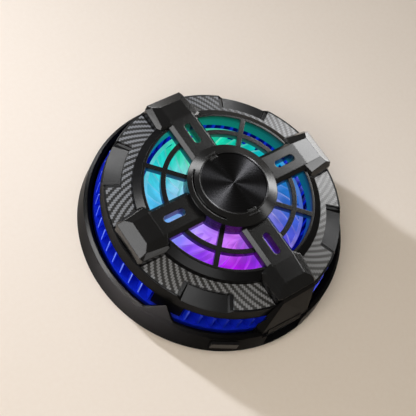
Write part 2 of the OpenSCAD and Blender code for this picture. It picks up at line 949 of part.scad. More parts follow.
// One winding round each tooth
module coils() {
    color("#b4682f")
        for (i = [0 : pole_count - 1])
            rotate([0, 0, i * 360 / pole_count])
                difference() {
                    radial_box(coil_in_r, coil_out_r, tooth_w / 2 + seat_gap + coil_t,
                        stator_z - coil_lap, stator_z + stator_h + coil_lap);
                    radial_box(coil_in_r - over, coil_out_r + over, tooth_w / 2 + seat_gap,
                        stator_z - seat_gap, stator_z + stator_h + seat_gap);
                }
}

module shaft() {
    color("#d0d2d6")
        post(shaft_r, shaft_z, cup_top);
}

// Steel cup that closes over the stator and grips the shaft
module rotor_cup() {
    color("#7d8187")
        difference() {
            post(cup_r, cup_z, cup_top);
            post(cup_in_r, cup_z - over, cup_top - cup_t);
            post(shaft_r + seat_gap, cup_z - over, cup_top + over);
        }
}

module rotor_magnet() {
    color("#3b3b3f")
        ring(rotor_magnet_r, cup_in_r - seat_gap, stator_z - 0.3, stator_z + stator_h + 0.3);
}

// Milky moulded wheel: a cup over the rotor, a disc, a ring of swept vanes and a ring that ties their tips
module impeller() {
    color("#bfe6f2", 0.6)
        union() {
            difference() {
                post(rotor_hub_r, disc_z, hub_top);
                post(cup_r + seat_gap, disc_z - over, cup_top);
            }
            ring(rotor_hub_r - hub_shell_t / 2, impeller_r, disc_z, vane_z);
            ring(impeller_r - tip_ring_w, impeller_r, vane_top - tip_ring_h, vane_top);
            translate([0, 0, vane_z - seat_gap])
                linear_extrude(height = vane_h + seat_gap)
                    for (i = [0 : vane_count - 1])
                        rotate(i * 360 / vane_count)
                            blade(vane_in_r, impeller_r - 0.1, vane_sweep, vane_t, fin_steps);
        }
}

module cover_profile() {
    polygon([
        [cover_in_r, cover_z], [cover_r, cover_z], [cover_top_r, deck_edge_z],
        [inlay_out_r, deck_z(inlay_out_r)], [inlay_out_r, deck_z(inlay_out_r) - inlay_t],
        [bezel_r, deck_z(bezel_r) - inlay_t], [bezel_r, bezel_z], [bezel_in_r, grille_top],
        [bezel_in_r, grille_z], [duct_r, grille_z], [duct_r, duct_z], [duct_out_r, duct_z],
        [duct_out_r, under_z(duct_out_r)], [cover_in_r, under_z(cover_in_r)]
    ]);
}

// Section of the air that a scoop takes out of the deck
module scoop_profile() {
    reach = cover_r + over;
    polygon([
        [scoop_in_r, scoop_z(scoop_in_r)], [reach, scoop_z(reach)],
        [reach, deck_in_z + over], [scoop_in_r, deck_in_z + over]
    ]);
}

// Wedge of air over the sloping end of a scoop, which runs out along +X and opens towards +Y
module scoop_end() {
    section = [[-0.1, 0.05], [scoop_end_w, scoop_end_h], [-1, scoop_end_h]];
    polyhedron(
        points = [for (r = [scoop_in_r + 0.03, cover_r + over], p = section) [r, p[0], scoop_z(r) + p[1]]],
        faces = [[0, 1, 2], [3, 5, 4], [3, 4, 1, 0], [0, 2, 5, 3], [2, 1, 4, 5]]
    );
}

// Air of one scoop, spread evenly to both sides of +X
module scoop() {
    rotate([0, 0, -scoop_floor_half])
        rotate_extrude(angle = 2 * scoop_floor_half)
            scoop_profile();
    for (side = [0, 1])
        mirror([0, side, 0])
            rotate([0, 0, scoop_floor_half])
                scoop_end();
}

// Moulded cover: outer wall, deck, raised bezel, air duct and three legs
module top_cover() {
    color("#2a2a2b")
        difference() {
            union() {
                rotate_extrude()
                    cover_profile();
                for (a = pillar_angles)
                    rotate([0, 0, a])
                        ring_sector(leg_in_r, leg_out_r, leg_angle, sink_top, cover_z + cover_wall / 2);
            }
            for (a = scoop_angles)
                rotate([0, 0, a])
                    scoop();
            for (a = arm_angles)
                rotate([0, 0, a])
                    translate([peg_pos, 0, 0])
                        post(peg_r + seat_gap, cover_z, deck_in_z + over);
            for (a = pillar_angles)
                rotate([0, 0, a])
                    translate([screw_pos, 0, 0])
                        post(screw_r + seat_gap, sink_top - over, screw_seat_z + screw_len + 0.2);
        }
}

module cover_screws() {
    color("#8e9196")
        for (a = pillar_angles)
            rotate([0, 0, a])
                translate([screw_pos, 0, 0]) {
                    post(screw_r, screw_seat_z - screw_head_h, screw_seat_z + screw_len);
                    post(screw_head_r, screw_seat_z - screw_head_h, screw_seat_z);
                }
}

// Woven inlay of one quarter of the deck, cut round its scoop and its two claws
module carbon_inlay(quarter) {
    mid = scoop_angles[quarter - 1];
    in_r = bezel_r + seat_gap;
    out_r = inlay_out_r - seat_gap;
    scoop_edge = scoop_in_r - 0.2;
    color("#6a6a68")
        difference() {
            rotate([0, 0, mid - 45])
                rotate_extrude(angle = 90)
                    polygon([
                        [in_r, deck_z(in_r) - inlay_t], [out_r, deck_z(out_r) - inlay_t],
                        [out_r, deck_z(out_r)], [in_r, deck_z(in_r)]
                    ]);
            rotate([0, 0, mid])
                ring_sector(scoop_edge, cover_r + over, scoop_half + 0.4, cover_z, bezel_z);
            for (side = [-45, 45])
                rotate([0, 0, mid + side])
                    translate([0, 0, cover_z])
                        linear_extrude(height = bezel_z - cover_z)
                            claw_plan(seat_gap);
        }
}

// Stadium hole down through an arm
module arm_slot(z_low, z_high) {
    translate([slot_r, 0, z_low])
        linear_extrude(height = z_high - z_low)
            stadium(slot_len, slot_w);
}

module grille() {
    arm_foot = arm_half_w + arm_bevel;
    arm_end = min(duct_r, sqrt(pow(grille_r, 2) - pow(arm_foot, 2)) - seat_gap);
    color("#1a1a1b")
        difference() {
            union() {
                ring(duct_r - 0.1, grille_r, grille_z, grille_top);
                ring(mid_ring_r - grille_bar / 2, mid_ring_r + grille_bar / 2, grille_z, grille_top);
                post(hub_r, grille_z, grille_top);
                for (a = scoop_angles)
                    rotate([0, 0, a])
                        radial_box(hub_r - 1, duct_r, grille_bar / 2, grille_z, grille_top);
                for (a = arm_angles)
                    rotate([0, 0, a])
                        radial_box(hub_r - arm_root, arm_end, arm_foot, grille_z, grille_top);
            }
            for (a = arm_angles)
                rotate([0, 0, a])
                    arm_slot(grille_z - over, grille_top + over);
        }
}

// Bar of an arm with bevelled sides, lying along +X
module arm() {
    foot = arm_half_w + arm_bevel;
    reach_in = hub_r - arm_root;
    translate([reach_in, 0, 0])
        rotate([90, 0, 90])
            linear_extrude(height = claw_in_r + 1 - reach_in)
                polygon([
                    [-foot, grille_top], [foot, grille_top], [foot, frame_top - arm_bevel],
                    [arm_half_w, frame_top], [-arm_half_w, frame_top], [-foot, frame_top - arm_bevel]
                ]);
}

// Faceted claw that grips the deck at the end of an arm
module claw() {
    floor_low = cover_z + 1;
    corners = [
        [claw_in_r, arm_half_w, frame_top], [ridge_out_r, ridge_out_w, frame_top - ridge_fall],
        [claw_in_r + shoulder_run, shoulder_in_w, frame_top - shoulder_in_fall],
        [shoulder_r, shoulder_out_w, frame_top - shoulder_out_fall],
        [claw_out_r, claw_face_w, frame_top - face_fall],
        [claw_in_r + 0.4, claw_in_w, frame_top - wall_in_fall],
        [claw_out_r - 0.6, claw_out_w, frame_top - wall_out_fall],
        [claw_in_r + 0.4, claw_in_w, floor_low], [claw_out_r - 0.6, claw_out_w, floor_low],
        [claw_out_r, claw_face_w, floor_low]
    ];
    faceted_solid([for (c = corners, side = [-1, 1]) [c[0], side * c[1], c[2]]]);
}

// Hub collar with four arms, each ending in a claw and a peg
module top_frame() {
    color("#333334")
        difference() {
            union() {
                post(hub_r, grille_top, frame_top);
                for (a = arm_angles)
                    rotate([0, 0, a])
                        arm();
                difference() {
                    for (a = arm_angles)
                        rotate([0, 0, a])
                            claw();
                    cover_envelope();
                }
                for (a = arm_angles)
                    rotate([0, 0, a])
                        translate([peg_pos, 0, 0])
                            post(peg_r, peg_z, deck_in_z + 1);
            }
            for (a = arm_angles)
                rotate([0, 0, a])
                    arm_slot(grille_top - over, frame_top + over);
        }
}

// Notches in the cap, as sectors that reach past its edge
module cap_notches(gap, z_low, z_high) {
    notch_angles = [95, 268];
    for (a = notch_angles)
        rotate([0, 0, a])
            ring_sector(cap_r - notch_d - gap, cap_r + 1, notch_half + gap / cap_r * 180 / PI, z_low, z_high);
}

// Conical ring round the cap, with a tab in each notch and a curved slit on one flank
module hub_ring() {
    slit_r = cap_r + 1.4;
    slit_w = 0.35;
    slit_d = 0.5;
    slit_mid = 178;
    slit_half = 47;
    inner = cap_r + seat_gap;
    color("#3a3a3b")
        difference() {
            union() {
                rotate_extrude()
                    polygon([
                        [inner, frame_top], [hub_r, frame_top], [hub_r, cone_z], [inner, cap_top]
                    ]);
                cap_notches(0, frame_top, cap_top - 0.2);
            }
            rotate([0, 0, slit_mid])
                ring_sector(slit_r, slit_r + slit_w, slit_half, cone_z - slit_d + 0.2, cap_top + over);
        }
}

// Spun metal cap with a raised rim
module centre_cap() {
    rim = 0.35;
    dish = 0.15;
    color("#0e0e0f")
        difference() {
            post(cap_r, frame_top, cap_top);
            post(cap_r - rim, cap_top - dish, cap_top + over);
            cap_notches(seat_gap, frame_top - over, cap_top + over);
        }
}

// Section of the visor, a bar that leans out over the port
module visor_bar(gap) {
    low = housing_foot_z - gap;
    high = housing_foot_z + visor_h + gap;
    half = visor_half + gap;
    translate([0, half, 0])
        rotate([90, 0, 0])
            linear_extrude(height = 2 * half)
                polygon([
                    [visor_back - gap, low], [visor_front, low],
                    [visor_front - visor_lean, high], [visor_back - gap, high]
                ]);
}

// Faceted nose that runs from the claw above the port down to the base
module port_housing() {
    turn = 270 - port_az;
    top_z = frame_top - face_fall - 0.1;
    top_r = claw_out_r + seat_gap;
    color("#2d2d2e")
        difference() {
            at_port()
                faceted_solid(concat(
                    [for (side = [-1, 1]) [housing_front, side * housing_corner, housing_foot_z]],
                    [for (side = [-1, 1]) [base_in_r, side * housing_half, housing_foot_z]],
                    [for (side = [-1, 1]) [housing_in_r, side * housing_half, housing_foot_z]],
                    [for (side = [-1, 1]) [housing_front, side * housing_corner, lip_z - 0.6]],
                    [for (side = [-1, 1]) [housing_in_r, side * housing_half, lip_z + 2]],
                    [for (side = [-1, 1]) polar(top_r, turn, top_z)
                        + side * claw_face_w * [-sin(turn), cos(turn), 0]],
                    [for (side = [-1, 1]) polar(top_r + 0.7, turn, top_z - 1.2)
                        + side * claw_face_w * [-sin(turn), cos(turn), 0]],
                    [for (side = [-1, 1]) polar(top_r, turn, deck_edge_z - 1)
                        + side * claw_out_w * [-sin(turn), cos(turn), 0]]
                ));
            cover_envelope();
            post(housing_back_r, 0, cover_z + 0.1);
            rotate([0, 0, 270])
                radial_box(0, top_r, claw_out_w + over, cover_z, cap_top);
            at_port()
                visor_bar(seat_gap);
        }
}

module port_visor() {
    color("#4a4a4b")
        at_port()
            visor_bar(0);
}

// Push button with a flange behind the wall and a stem that reaches the switch
module power_button() {
    half_h = button_h / 2;
    color("#2f2f30")
        at_button() {
            radial_box(button_flange_in, button_face, button_w / 2, button_z - half_h, button_z + half_h);
            radial_box(button_flange_in, button_flange_out, button_w / 2 + button_lap / 2,
                button_z - half_h - button_lap / 2, button_z + half_h + button_lap / 2);
            radial_box(stem_tip, button_flange_in + over, stem_half_w, stem_z, stem_z + stem_h);
        }
}

contact_pad();
cold_plate();
base_shell();
magnets();
magnet_yoke();
thermal_pad_cold();
peltier();
peltier_leads();
thermal_pad_hot();
foam_frame();
control_board();
usb_socket();
usb_tongue();
tact_switch();
board_link();
board_screws();
heat_sink();
led_board();
leds();
light_guide();
motor_base();
motor_screws();
bearing();
stator();
coils();
shaft();
rotor_cup();
rotor_magnet();
impeller();
top_cover();
cover_screws();
carbon_inlay(1);  // carbon_inlay_1
carbon_inlay(2);  // carbon_inlay_2
carbon_inlay(3);  // carbon_inlay_3
carbon_inlay(4);  // carbon_inlay_4
grille();
top_frame();
hub_ring();
centre_cap();
port_housing();
port_visor();
power_button();
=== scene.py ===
"""Looks of the phone cooling fan: finishes for every piece, small added pieces, studio and camera."""
import logging
import math
from dataclasses import dataclass, field
from enum import Enum

import bpy
from mathutils import Matrix, Vector


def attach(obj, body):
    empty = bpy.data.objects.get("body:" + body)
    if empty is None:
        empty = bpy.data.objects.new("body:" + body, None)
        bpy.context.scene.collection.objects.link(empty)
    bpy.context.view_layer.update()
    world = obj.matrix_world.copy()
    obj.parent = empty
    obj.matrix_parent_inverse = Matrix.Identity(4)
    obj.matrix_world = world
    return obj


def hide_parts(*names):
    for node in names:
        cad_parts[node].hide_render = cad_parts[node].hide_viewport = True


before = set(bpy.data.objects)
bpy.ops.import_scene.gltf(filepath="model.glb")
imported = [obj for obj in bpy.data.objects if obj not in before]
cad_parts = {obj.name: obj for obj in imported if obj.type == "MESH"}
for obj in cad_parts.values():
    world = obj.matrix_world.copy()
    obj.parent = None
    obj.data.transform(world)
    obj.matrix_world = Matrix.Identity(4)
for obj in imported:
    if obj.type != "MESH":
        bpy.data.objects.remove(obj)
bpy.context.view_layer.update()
LOG = logging.getLogger("phone_cooler")
MM = 0.001
# Most of a noise texture's values lie between these two
NOISE_LOW, NOISE_HIGH = 0.3, 0.7
FLOOR = "studio_floor"

Colour = tuple[float, float, float, float]
Value = float | int | bool | str | tuple | bpy.types.NodeSocket | bpy.types.Material


def linear(code: str) -> Colour:
    """Turns an sRGB hex colour into linear values.

    Args:
        code: Hex digits such as "#1c1c1d".

    Returns:
        Red, green, blue and alpha in linear light.
    """
    parts = [int(code[i:i + 2], 16) / 255 for i in (1, 3, 5)]
    bent = [p / 12.92 if p <= 0.04045 else ((p + 0.055) / 1.055) ** 2.4 for p in parts]
    return bent[0], bent[1], bent[2], 1.0


def direction(azimuth_deg: float, elevation_deg: float) -> Vector:
    """Points from the object to somewhere in the studio.

    Args:
        azimuth_deg: Angle from +X round the fan's axis.
        elevation_deg: Angle above the floor.

    Returns:
        A vector of length one.
    """
    a, e = math.radians(azimuth_deg), math.radians(elevation_deg)
    return Vector((math.cos(e) * math.cos(a), math.cos(e) * math.sin(a), math.sin(e)))


def add(tree: bpy.types.NodeTree, kind: str, inputs: dict[str | int, Value] | None = None,
        **settings: object) -> bpy.types.Node:
    """Adds one node with its settings, and fills or links its inputs.

    Args:
        tree: The node tree that gets the node.
        kind: The node's type name.
        inputs: Values or sockets for the node's inputs, by name or number.
        settings: Properties of the node itself.

    Returns:
        The new node.
    """
    node = tree.nodes.new(kind)
    for name, value in settings.items():
        setattr(node, name, value)
    for key, value in (inputs or {}).items():
        if isinstance(value, bpy.types.NodeSocket):
            tree.links.new(value, node.inputs[key])
        else:
            node.inputs[key].default_value = value
    return node


def polar(tree: bpy.types.NodeTree) -> tuple[bpy.types.NodeSocket, ...]:
    """Reads where a point lies round the fan's axis.

    Args:
        tree: The material's node tree.

    Returns:
        Sockets of the position, the angle as a share of a turn, the radius and the height, in metres.
    """
    place = add(tree, "ShaderNodeTexCoord").outputs["Object"]
    axes = add(tree, "ShaderNodeSeparateXYZ", {0: place})
    angle = add(tree, "ShaderNodeMath", {0: axes.outputs["Y"], 1: axes.outputs["X"]}, operation="ARCTAN2")
    turn = add(tree, "ShaderNodeMath", {0: angle.outputs[0], 1: 1 / math.tau}, operation="MULTIPLY")
    share = add(tree, "ShaderNodeMath", {0: turn.outputs[0]}, operation="FRACT")
    flat = add(tree, "ShaderNodeVectorMath", {0: place, 1: (1, 1, 0)}, operation="MULTIPLY")
    radius = add(tree, "ShaderNodeVectorMath", {0: flat.outputs[0]}, operation="LENGTH")
    return place, share.outputs[0], radius.outputs["Value"], axes.outputs["Z"]


class Glow(Enum):
    """Colour of the lamps' light by the angle from +X in degrees, painted as a glow on the lamps, the light
    guide and the vanes.
    """

    SKY = (0, "#1a86d0")
    SEA = (20, "#0aacb4")
    JADE = (45, "#0cc0a4")
    MINT = (66, "#20cc9c")
    GREEN = (88, "#28d69c")
    TURQUOISE = (106, "#22cebe")
    CYAN = (122, "#2cccd0")
    AZURE = (142, "#48bede")
    ICE = (165, "#52b4ec")
    PERIWINKLE = (182, "#84a6f8")
    VIOLET = (202, "#8450f2")
    PURPLE = (220, "#9430f2")
    MAGENTA = (246, "#b414ea")
    ORCHID = (266, "#8c2ce0")
    LILAC = (286, "#6446d0")
    INDIGO = (308, "#4658cc")
    BLUE = (334, "#2a66c4")


class Wash(Enum):
    """Colour of the painted glow that stands for the lamps' light on the duct's wall and under the grille, by
    the angle from +X in degrees.
    """

    TEAL = (0, "#075c70")
    PINE = (40, "#087468")
    SPRUCE = (85, "#0c8070")
    LAGOON = (125, "#0a6c88")
    COBALT = (170, "#1c3c98")
    GRAPE = (215, "#3c1084")
    PLUM = (255, "#340c74")
    NAVY = (290, "#0c2c8c")
    OCEAN = (325, "#07507c")


def tones(tree: bpy.types.NodeTree, ring: type[Enum], share: bpy.types.NodeSocket) -> bpy.types.NodeSocket:
    """Adds a ring of colours round the fan's axis.

    Args:
        tree: The material's node tree.
        ring: The colours and their angles, from angle zero upwards.
        share: Socket of the angle as a share of a turn.

    Returns:
        Socket of the colour at that angle.
    """
    ramp = add(tree, "ShaderNodeValToRGB", {0: share})
    stops = ramp.color_ramp.elements
    first = linear(list(ring)[0].value[1])
    stops[0].position, stops[0].color = 0, first
    stops[1].position, stops[1].color = 1, first
    for tone in list(ring)[1:]:
        stops.new(tone.value[0] / 360).color = linear(tone.value[1])
    return ramp.outputs["Color"]


@dataclass(frozen=True)
class Finish:
    """A surface: what it is made of and how it was made."""

    name: str
    colour: str
    roughness: float = 0.5
    metallic: float = 0.0
    ior: float = 1.5

    def material(self) -> bpy.types.Material:
        """Makes the material once and gives it again when it exists.

        Returns:
            The Blender material.
        """
        made = bpy.data.materials.get(self.name)
        if made:
            return made
        made = bpy.data.materials.new(self.name)
        made.use_nodes = True
        tree = made.node_tree
        shader = tree.nodes["Principled BSDF"]
        shader.inputs["Base Color"].default_value = linear(self.colour)
        shader.inputs["Roughness"].default_value = self.roughness
        shader.inputs["Metallic"].default_value = self.metallic
        shader.inputs["IOR"].default_value = self.ior
        self.pattern(tree, shader)
        return made

    def pattern(self, tree: bpy.types.NodeTree, shader: bpy.types.Node) -> None:
        """Adds what the eye sees on the surface.

        Args:
            tree: The material's node tree.
            shader: Its Principled shader.
        """
        raise NotImplementedError


@dataclass(frozen=True)
class Moulded(Finish):
    """Moulded ABS: a fine spark-eroded grain breaks up the gloss, and the edges are slightly rounded.

    The grain is drawn coarser than a fine real one. It is still finer than a pixel of the photograph, so
    there it reads as an even satin, and the grains show only from closer by.
    """

    shade: str = "#242426"
    grain_mm: float = 0.16
    depth_mm: float = 0.004
    relief: float = 0.35
    cloud_mm: float = 9.0
    swing: tuple[float, float] = (0.9, 1.1)
    edge_mm: float = 0.16
    edge_samples: int = 6
    sheen: float = 0.5
    # Painted glow for the lamps' light on the inner faces: its radius, heights and strengths
    spill_radius_mm: float = 0.0
    spill_mm: tuple[float, float] = (18.5, 22.0)
    spill: tuple[float, float] = (1.0, 0.7)

    def pattern(self, tree: bpy.types.NodeTree, shader: bpy.types.Node) -> None:
        """Adds grain, cloudy gloss, rounded edges and, on the duct's wall, a painted glow for the lamps'
        light.

        Args:
            tree: The material's node tree.
            shader: Its Principled shader.
        """
        place, share, radius, height = polar(tree)
        cloud = add(tree, "ShaderNodeTexNoise",
                    {"Vector": place, "Scale": 1 / (self.cloud_mm * MM), "Detail": 3.0})
        tint = add(tree, "ShaderNodeMix", {0: cloud.outputs[0], 6: linear(self.colour),
                                           7: linear(self.shade)}, data_type="RGBA")
        gloss = add(tree, "ShaderNodeMapRange", {0: cloud.outputs[0], 1: NOISE_LOW, 2: NOISE_HIGH,
                                                 3: self.roughness * self.swing[0],
                                                 4: self.roughness * self.swing[1]})
        grain = add(tree, "ShaderNodeTexNoise",
                    {"Vector": place, "Scale": 1 / (self.grain_mm * MM), "Detail": 2.0})
        edge = add(tree, "ShaderNodeBevel", {"Radius": self.edge_mm * MM}, samples=self.edge_samples)
        bump = add(tree, "ShaderNodeBump", {"Strength": self.relief, "Distance": self.depth_mm * MM,
                                            "Height": grain.outputs[0], "Normal": edge.outputs[0]})
        tree.links.new(tint.outputs[2], shader.inputs["Base Color"])
        tree.links.new(gloss.outputs[0], shader.inputs["Roughness"])
        tree.links.new(bump.outputs[0], shader.inputs["Normal"])
        shader.inputs["Specular IOR Level"].default_value = self.sheen
        if self.spill_radius_mm:
            self.painted_lamp_glow(tree, shader, share, radius, height)

    def painted_lamp_glow(self, tree: bpy.types.NodeTree, shader: bpy.types.Node, share: bpy.types.NodeSocket,
                   radius: bpy.types.NodeSocket, height: bpy.types.NodeSocket) -> None:
        """Paints a glow on the inner faces: emission that stands for the light of the lamps below them.

        Args:
            tree: The material's node tree.
            shader: Its Principled shader.
            share: Socket of the angle as a share of a turn.
            radius: Socket of the radius.
            height: Socket of the height.
        """
        # Painted light: emission in the lamps' colours inside the spill radius, stronger low down
        near = add(tree, "ShaderNodeMath", {0: radius, 1: self.spill_radius_mm * MM}, operation="LESS_THAN")
        low = add(tree, "ShaderNodeMapRange", {0: height, 1: self.spill_mm[0] * MM, 2: self.spill_mm[1] * MM,
                                                3: self.spill[0], 4: self.spill[1]})
        level = add(tree, "ShaderNodeMath", {0: near.outputs[0], 1: low.outputs[0]}, operation="MULTIPLY")
        tree.links.new(tones(tree, Wash, share), shader.inputs["Emission Color"])
        tree.links.new(level.outputs[0], shader.inputs["Emission Strength"])


@dataclass(frozen=True)
class Twill(Finish):
    """Two-by-two twill film under a clear coat: slanting ribs, the lit threads grey and the others dark."""

    dark: str = "#262626"
    gap: str = "#161616"
    gap_depth: float = 0.55
    gap_share: float = 0.3
    thread_mm: float = 0.53
    repeat: int = 4
    mid_radius_mm: float = 28.0
    relief: float = 0.2
    relief_mm: float = 0.05
    coat: float = 0.6
    coat_roughness: float = 0.35

    def pattern(self, tree: bpy.types.NodeTree, shader: bpy.types.Node) -> None:
        """Adds threads along the rim and along the radius, two over and two under, dark between neighbours.

        Args:
            tree: The material's node tree.
            shader: Its Principled shader.
        """
        _, share, radius, _ = polar(tree)
        threads = self.repeat * round(math.tau * self.mid_radius_mm / self.thread_mm / self.repeat)
        along = add(tree, "ShaderNodeMath", {0: share, 1: float(threads)}, operation="MULTIPLY")
        across = add(tree, "ShaderNodeMath", {0: radius, 1: self.thread_mm * MM}, operation="DIVIDE")
        warp = add(tree, "ShaderNodeMath", {0: along.outputs[0]}, operation="FLOOR")
        weft = add(tree, "ShaderNodeMath", {0: across.outputs[0]}, operation="FLOOR")
        step = add(tree, "ShaderNodeMath", {0: warp.outputs[0], 1: weft.outputs[0]}, operation="SUBTRACT")
        phase = add(tree, "ShaderNodeMath", {0: step.outputs[0], 1: float(self.repeat)},
                    operation="FLOORED_MODULO")
        over = add(tree, "ShaderNodeMath", {0: phase.outputs[0], 1: self.repeat / 2 - 0.5},
                   operation="LESS_THAN")
        crown_a = add(tree, "ShaderNodeMath", {0: along.outputs[0], 1: 0.5}, operation="PINGPONG")
        crown_b = add(tree, "ShaderNodeMath", {0: across.outputs[0], 1: 0.5}, operation="PINGPONG")
        crown = add(tree, "ShaderNodeMix",
                    {0: over.outputs[0], 2: crown_b.outputs[0], 3: crown_a.outputs[0]})
        lie = add(tree, "ShaderNodeMix", {0: over.outputs[0], 6: linear(self.dark), 7: linear(self.colour)},
                  data_type="RGBA")
        depth = add(tree, "ShaderNodeMapRange",
                    {0: crown.outputs[0], 1: 0.0, 2: self.gap_share, 3: self.gap_depth, 4: 0.0})
        weave = add(tree, "ShaderNodeMix", {0: depth.outputs[0], 6: lie.outputs[2], 7: linear(self.gap)},
                    data_type="RGBA")
        bump = add(tree, "ShaderNodeBump", {"Strength": self.relief, "Distance": self.relief_mm * MM,
                                            "Height": crown.outputs[0]})
        tree.links.new(weave.outputs[2], shader.inputs["Base Color"])
        tree.links.new(bump.outputs[0], shader.inputs["Normal"])
        shader.inputs["Coat Weight"].default_value = self.coat
        shader.inputs["Coat Roughness"].default_value = self.coat_roughness


@dataclass(frozen=True)
class SpunMetal(Finish):
    """Aluminium spun on a lathe and anodised: fine rings pull the highlights out into radial fans.

    The rings are drawn coarser than fine real ones. They are still finer than a pixel of the photograph,
    so there the fans show, and the rings only from closer by.
    """

    rim: str = "#5c5c5e"
    rim_radius_mm: float = 8.72
    ring_mm: float = 0.12
    swing: tuple[float, float] = (0.85, 1.2)
    pull: float = 0.98
    quarter_turn: float = 0.25

    def pattern(self, tree: bpy.types.NodeTree, shader: bpy.types.Node) -> None:
        """Adds the turned rings and the bright cut rim.

        Args:
            tree: The material's node tree.
            shader: Its Principled shader.
        """
        _, _, radius, _ = polar(tree)
        rings = add(tree, "ShaderNodeTexNoise",
                    {"W": radius, "Scale": 1 / (self.ring_mm * MM), "Detail": 2.0}, noise_dimensions="1D")
        gloss = add(tree, "ShaderNodeMapRange", {0: rings.outputs[0], 1: NOISE_LOW, 2: NOISE_HIGH,
                                                 3: self.roughness * self.swing[0],
                                                 4: self.roughness * self.swing[1]})
        edge = add(tree, "ShaderNodeMath", {0: radius, 1: self.rim_radius_mm * MM},
                   operation="GREATER_THAN")
        tint = add(tree, "ShaderNodeMix", {0: edge.outputs[0], 6: linear(self.colour), 7: linear(self.rim)},
                   data_type="RGBA")
        lay = add(tree, "ShaderNodeTangent", direction_type="RADIAL", axis="Z")
        tree.links.new(tint.outputs[2], shader.inputs["Base Color"])
        tree.links.new(gloss.outputs[0], shader.inputs["Roughness"])
        tree.links.new(lay.outputs[0], shader.inputs["Tangent"])
        shader.inputs["Anisotropic"].default_value = self.pull
        shader.inputs["Anisotropic Rotation"].default_value = self.quarter_turn


@dataclass(frozen=True)
class Fins(Finish):
    """Blue anodised aluminium fins, deep and even on the faces, with painted light: a painted highlight on
    the cut ends, a painted glow and painted shade on one side.
    """

    deep: str = "#0a16b4"
    # Colour of the painted highlight on the outer cut ends of the fins
    cut: str = "#7c98f0"
    count: int = 60
    plate_mm: float = 9.72
    inner_mm: float = 24.3
    outer_mm: float = 32.15
    end_phase: float = 0.667
    line_share: float = 0.035
    dye_mm: float = 1.8
    # Strength of the painted glow that stands for the lamps' light between the fins
    glow: float = 0.42
    glow_mm: tuple[float, float] = (26.0, 31.0)
    # Angles of the painted shade on the fins' glow and tip highlights, with its unshaded and shaded levels
    painted_shade_deg: tuple[float, float, float, float] = (206, 226, 348, 360)
    bright: str = "#ffffff"
    dim: str = "#404040"

    def pattern(self, tree: bpy.types.NodeTree, shader: bpy.types.Node) -> None:
        """Adds a cloudy dye, a painted highlight on the cut ends, a painted glow for the lamps' light between
        the fins, and painted shade on one side.

        Args:
            tree: The material's node tree.
            shader: Its Principled shader.
        """
        place, share, radius, height = polar(tree)
        cloud = add(tree, "ShaderNodeTexNoise",
                    {"Vector": place, "Scale": 1 / (self.dye_mm * MM), "Detail": 3.0})
        dye = add(tree, "ShaderNodeMix", {0: cloud.outputs[0], 6: linear(self.deep), 7: linear(self.colour)},
                  data_type="RGBA")
        fin = add(tree, "ShaderNodeMath", {0: height, 1: self.plate_mm * MM}, operation="GREATER_THAN")
        # Painted highlight: a pale line on each fin's outer cut end stands for the light that the fin tips
        # catch
        out = add(tree, "ShaderNodeMath", {0: radius, 1: self.outer_mm * MM}, operation="GREATER_THAN")
        pitch = add(tree, "ShaderNodeMath", {0: share, 1: float(self.count), 2: 0.5 - self.end_phase},
                    operation="MULTIPLY_ADD")
        phase = add(tree, "ShaderNodeMath", {0: pitch.outputs[0]}, operation="FRACT")
        line = add(tree, "ShaderNodeMath", {0: phase.outputs[0], 1: 0.5, 2: self.line_share},
                   operation="COMPARE")
        end = add(tree, "ShaderNodeMath", {0: line.outputs[0], 1: out.outputs[0]}, operation="MULTIPLY")
        cut = add(tree, "ShaderNodeMath", {0: end.outputs[0], 1: fin.outputs[0]}, operation="MULTIPLY")
        # Painted shade: the glow and the tip highlights are dimmed from about 206 to 360 degrees, the side in
        # shade
        shade = add(tree, "ShaderNodeValToRGB", {0: share})
        stops = shade.color_ramp.elements
        stops[0].position, stops[0].color = self.painted_shade_deg[0] / 360, linear(self.bright)
        stops[1].position, stops[1].color = self.painted_shade_deg[3] / 360, linear(self.bright)
        for turn in self.painted_shade_deg[1:3]:
            stops.new(turn / 360).color = linear(self.dim)
        seen = add(tree, "ShaderNodeMath", {0: cut.outputs[0], 1: shade.outputs[0]}, operation="MULTIPLY")
        tint = add(tree, "ShaderNodeMix", {0: seen.outputs[0], 6: dye.outputs[2], 7: linear(self.cut)},
                   data_type="RGBA")
        # Painted glow: emission on the fins stands for the lamps' light, rising towards the rim and on the
        # inner ends
        far = add(tree, "ShaderNodeMapRange", {0: radius, 1: self.glow_mm[0] * MM, 2: self.glow_mm[1] * MM,
                                               3: 0.0, 4: self.glow})
        side = add(tree, "ShaderNodeMath", {0: far.outputs[0], 1: shade.outputs[0]}, operation="MULTIPLY")
        near = add(tree, "ShaderNodeMath", {0: radius, 1: self.inner_mm * MM}, operation="LESS_THAN")
        both = add(tree, "ShaderNodeMath", {0: near.outputs[0], 1: self.glow, 2: side.outputs[0]},
                   operation="MULTIPLY_ADD")
        level = add(tree, "ShaderNodeMath", {0: both.outputs[0], 1: fin.outputs[0]}, operation="MULTIPLY")
        tree.links.new(tint.outputs[2], shader.inputs["Base Color"])
        tree.links.new(tint.outputs[2], shader.inputs["Emission Color"])
        tree.links.new(level.outputs[0], shader.inputs["Emission Strength"])


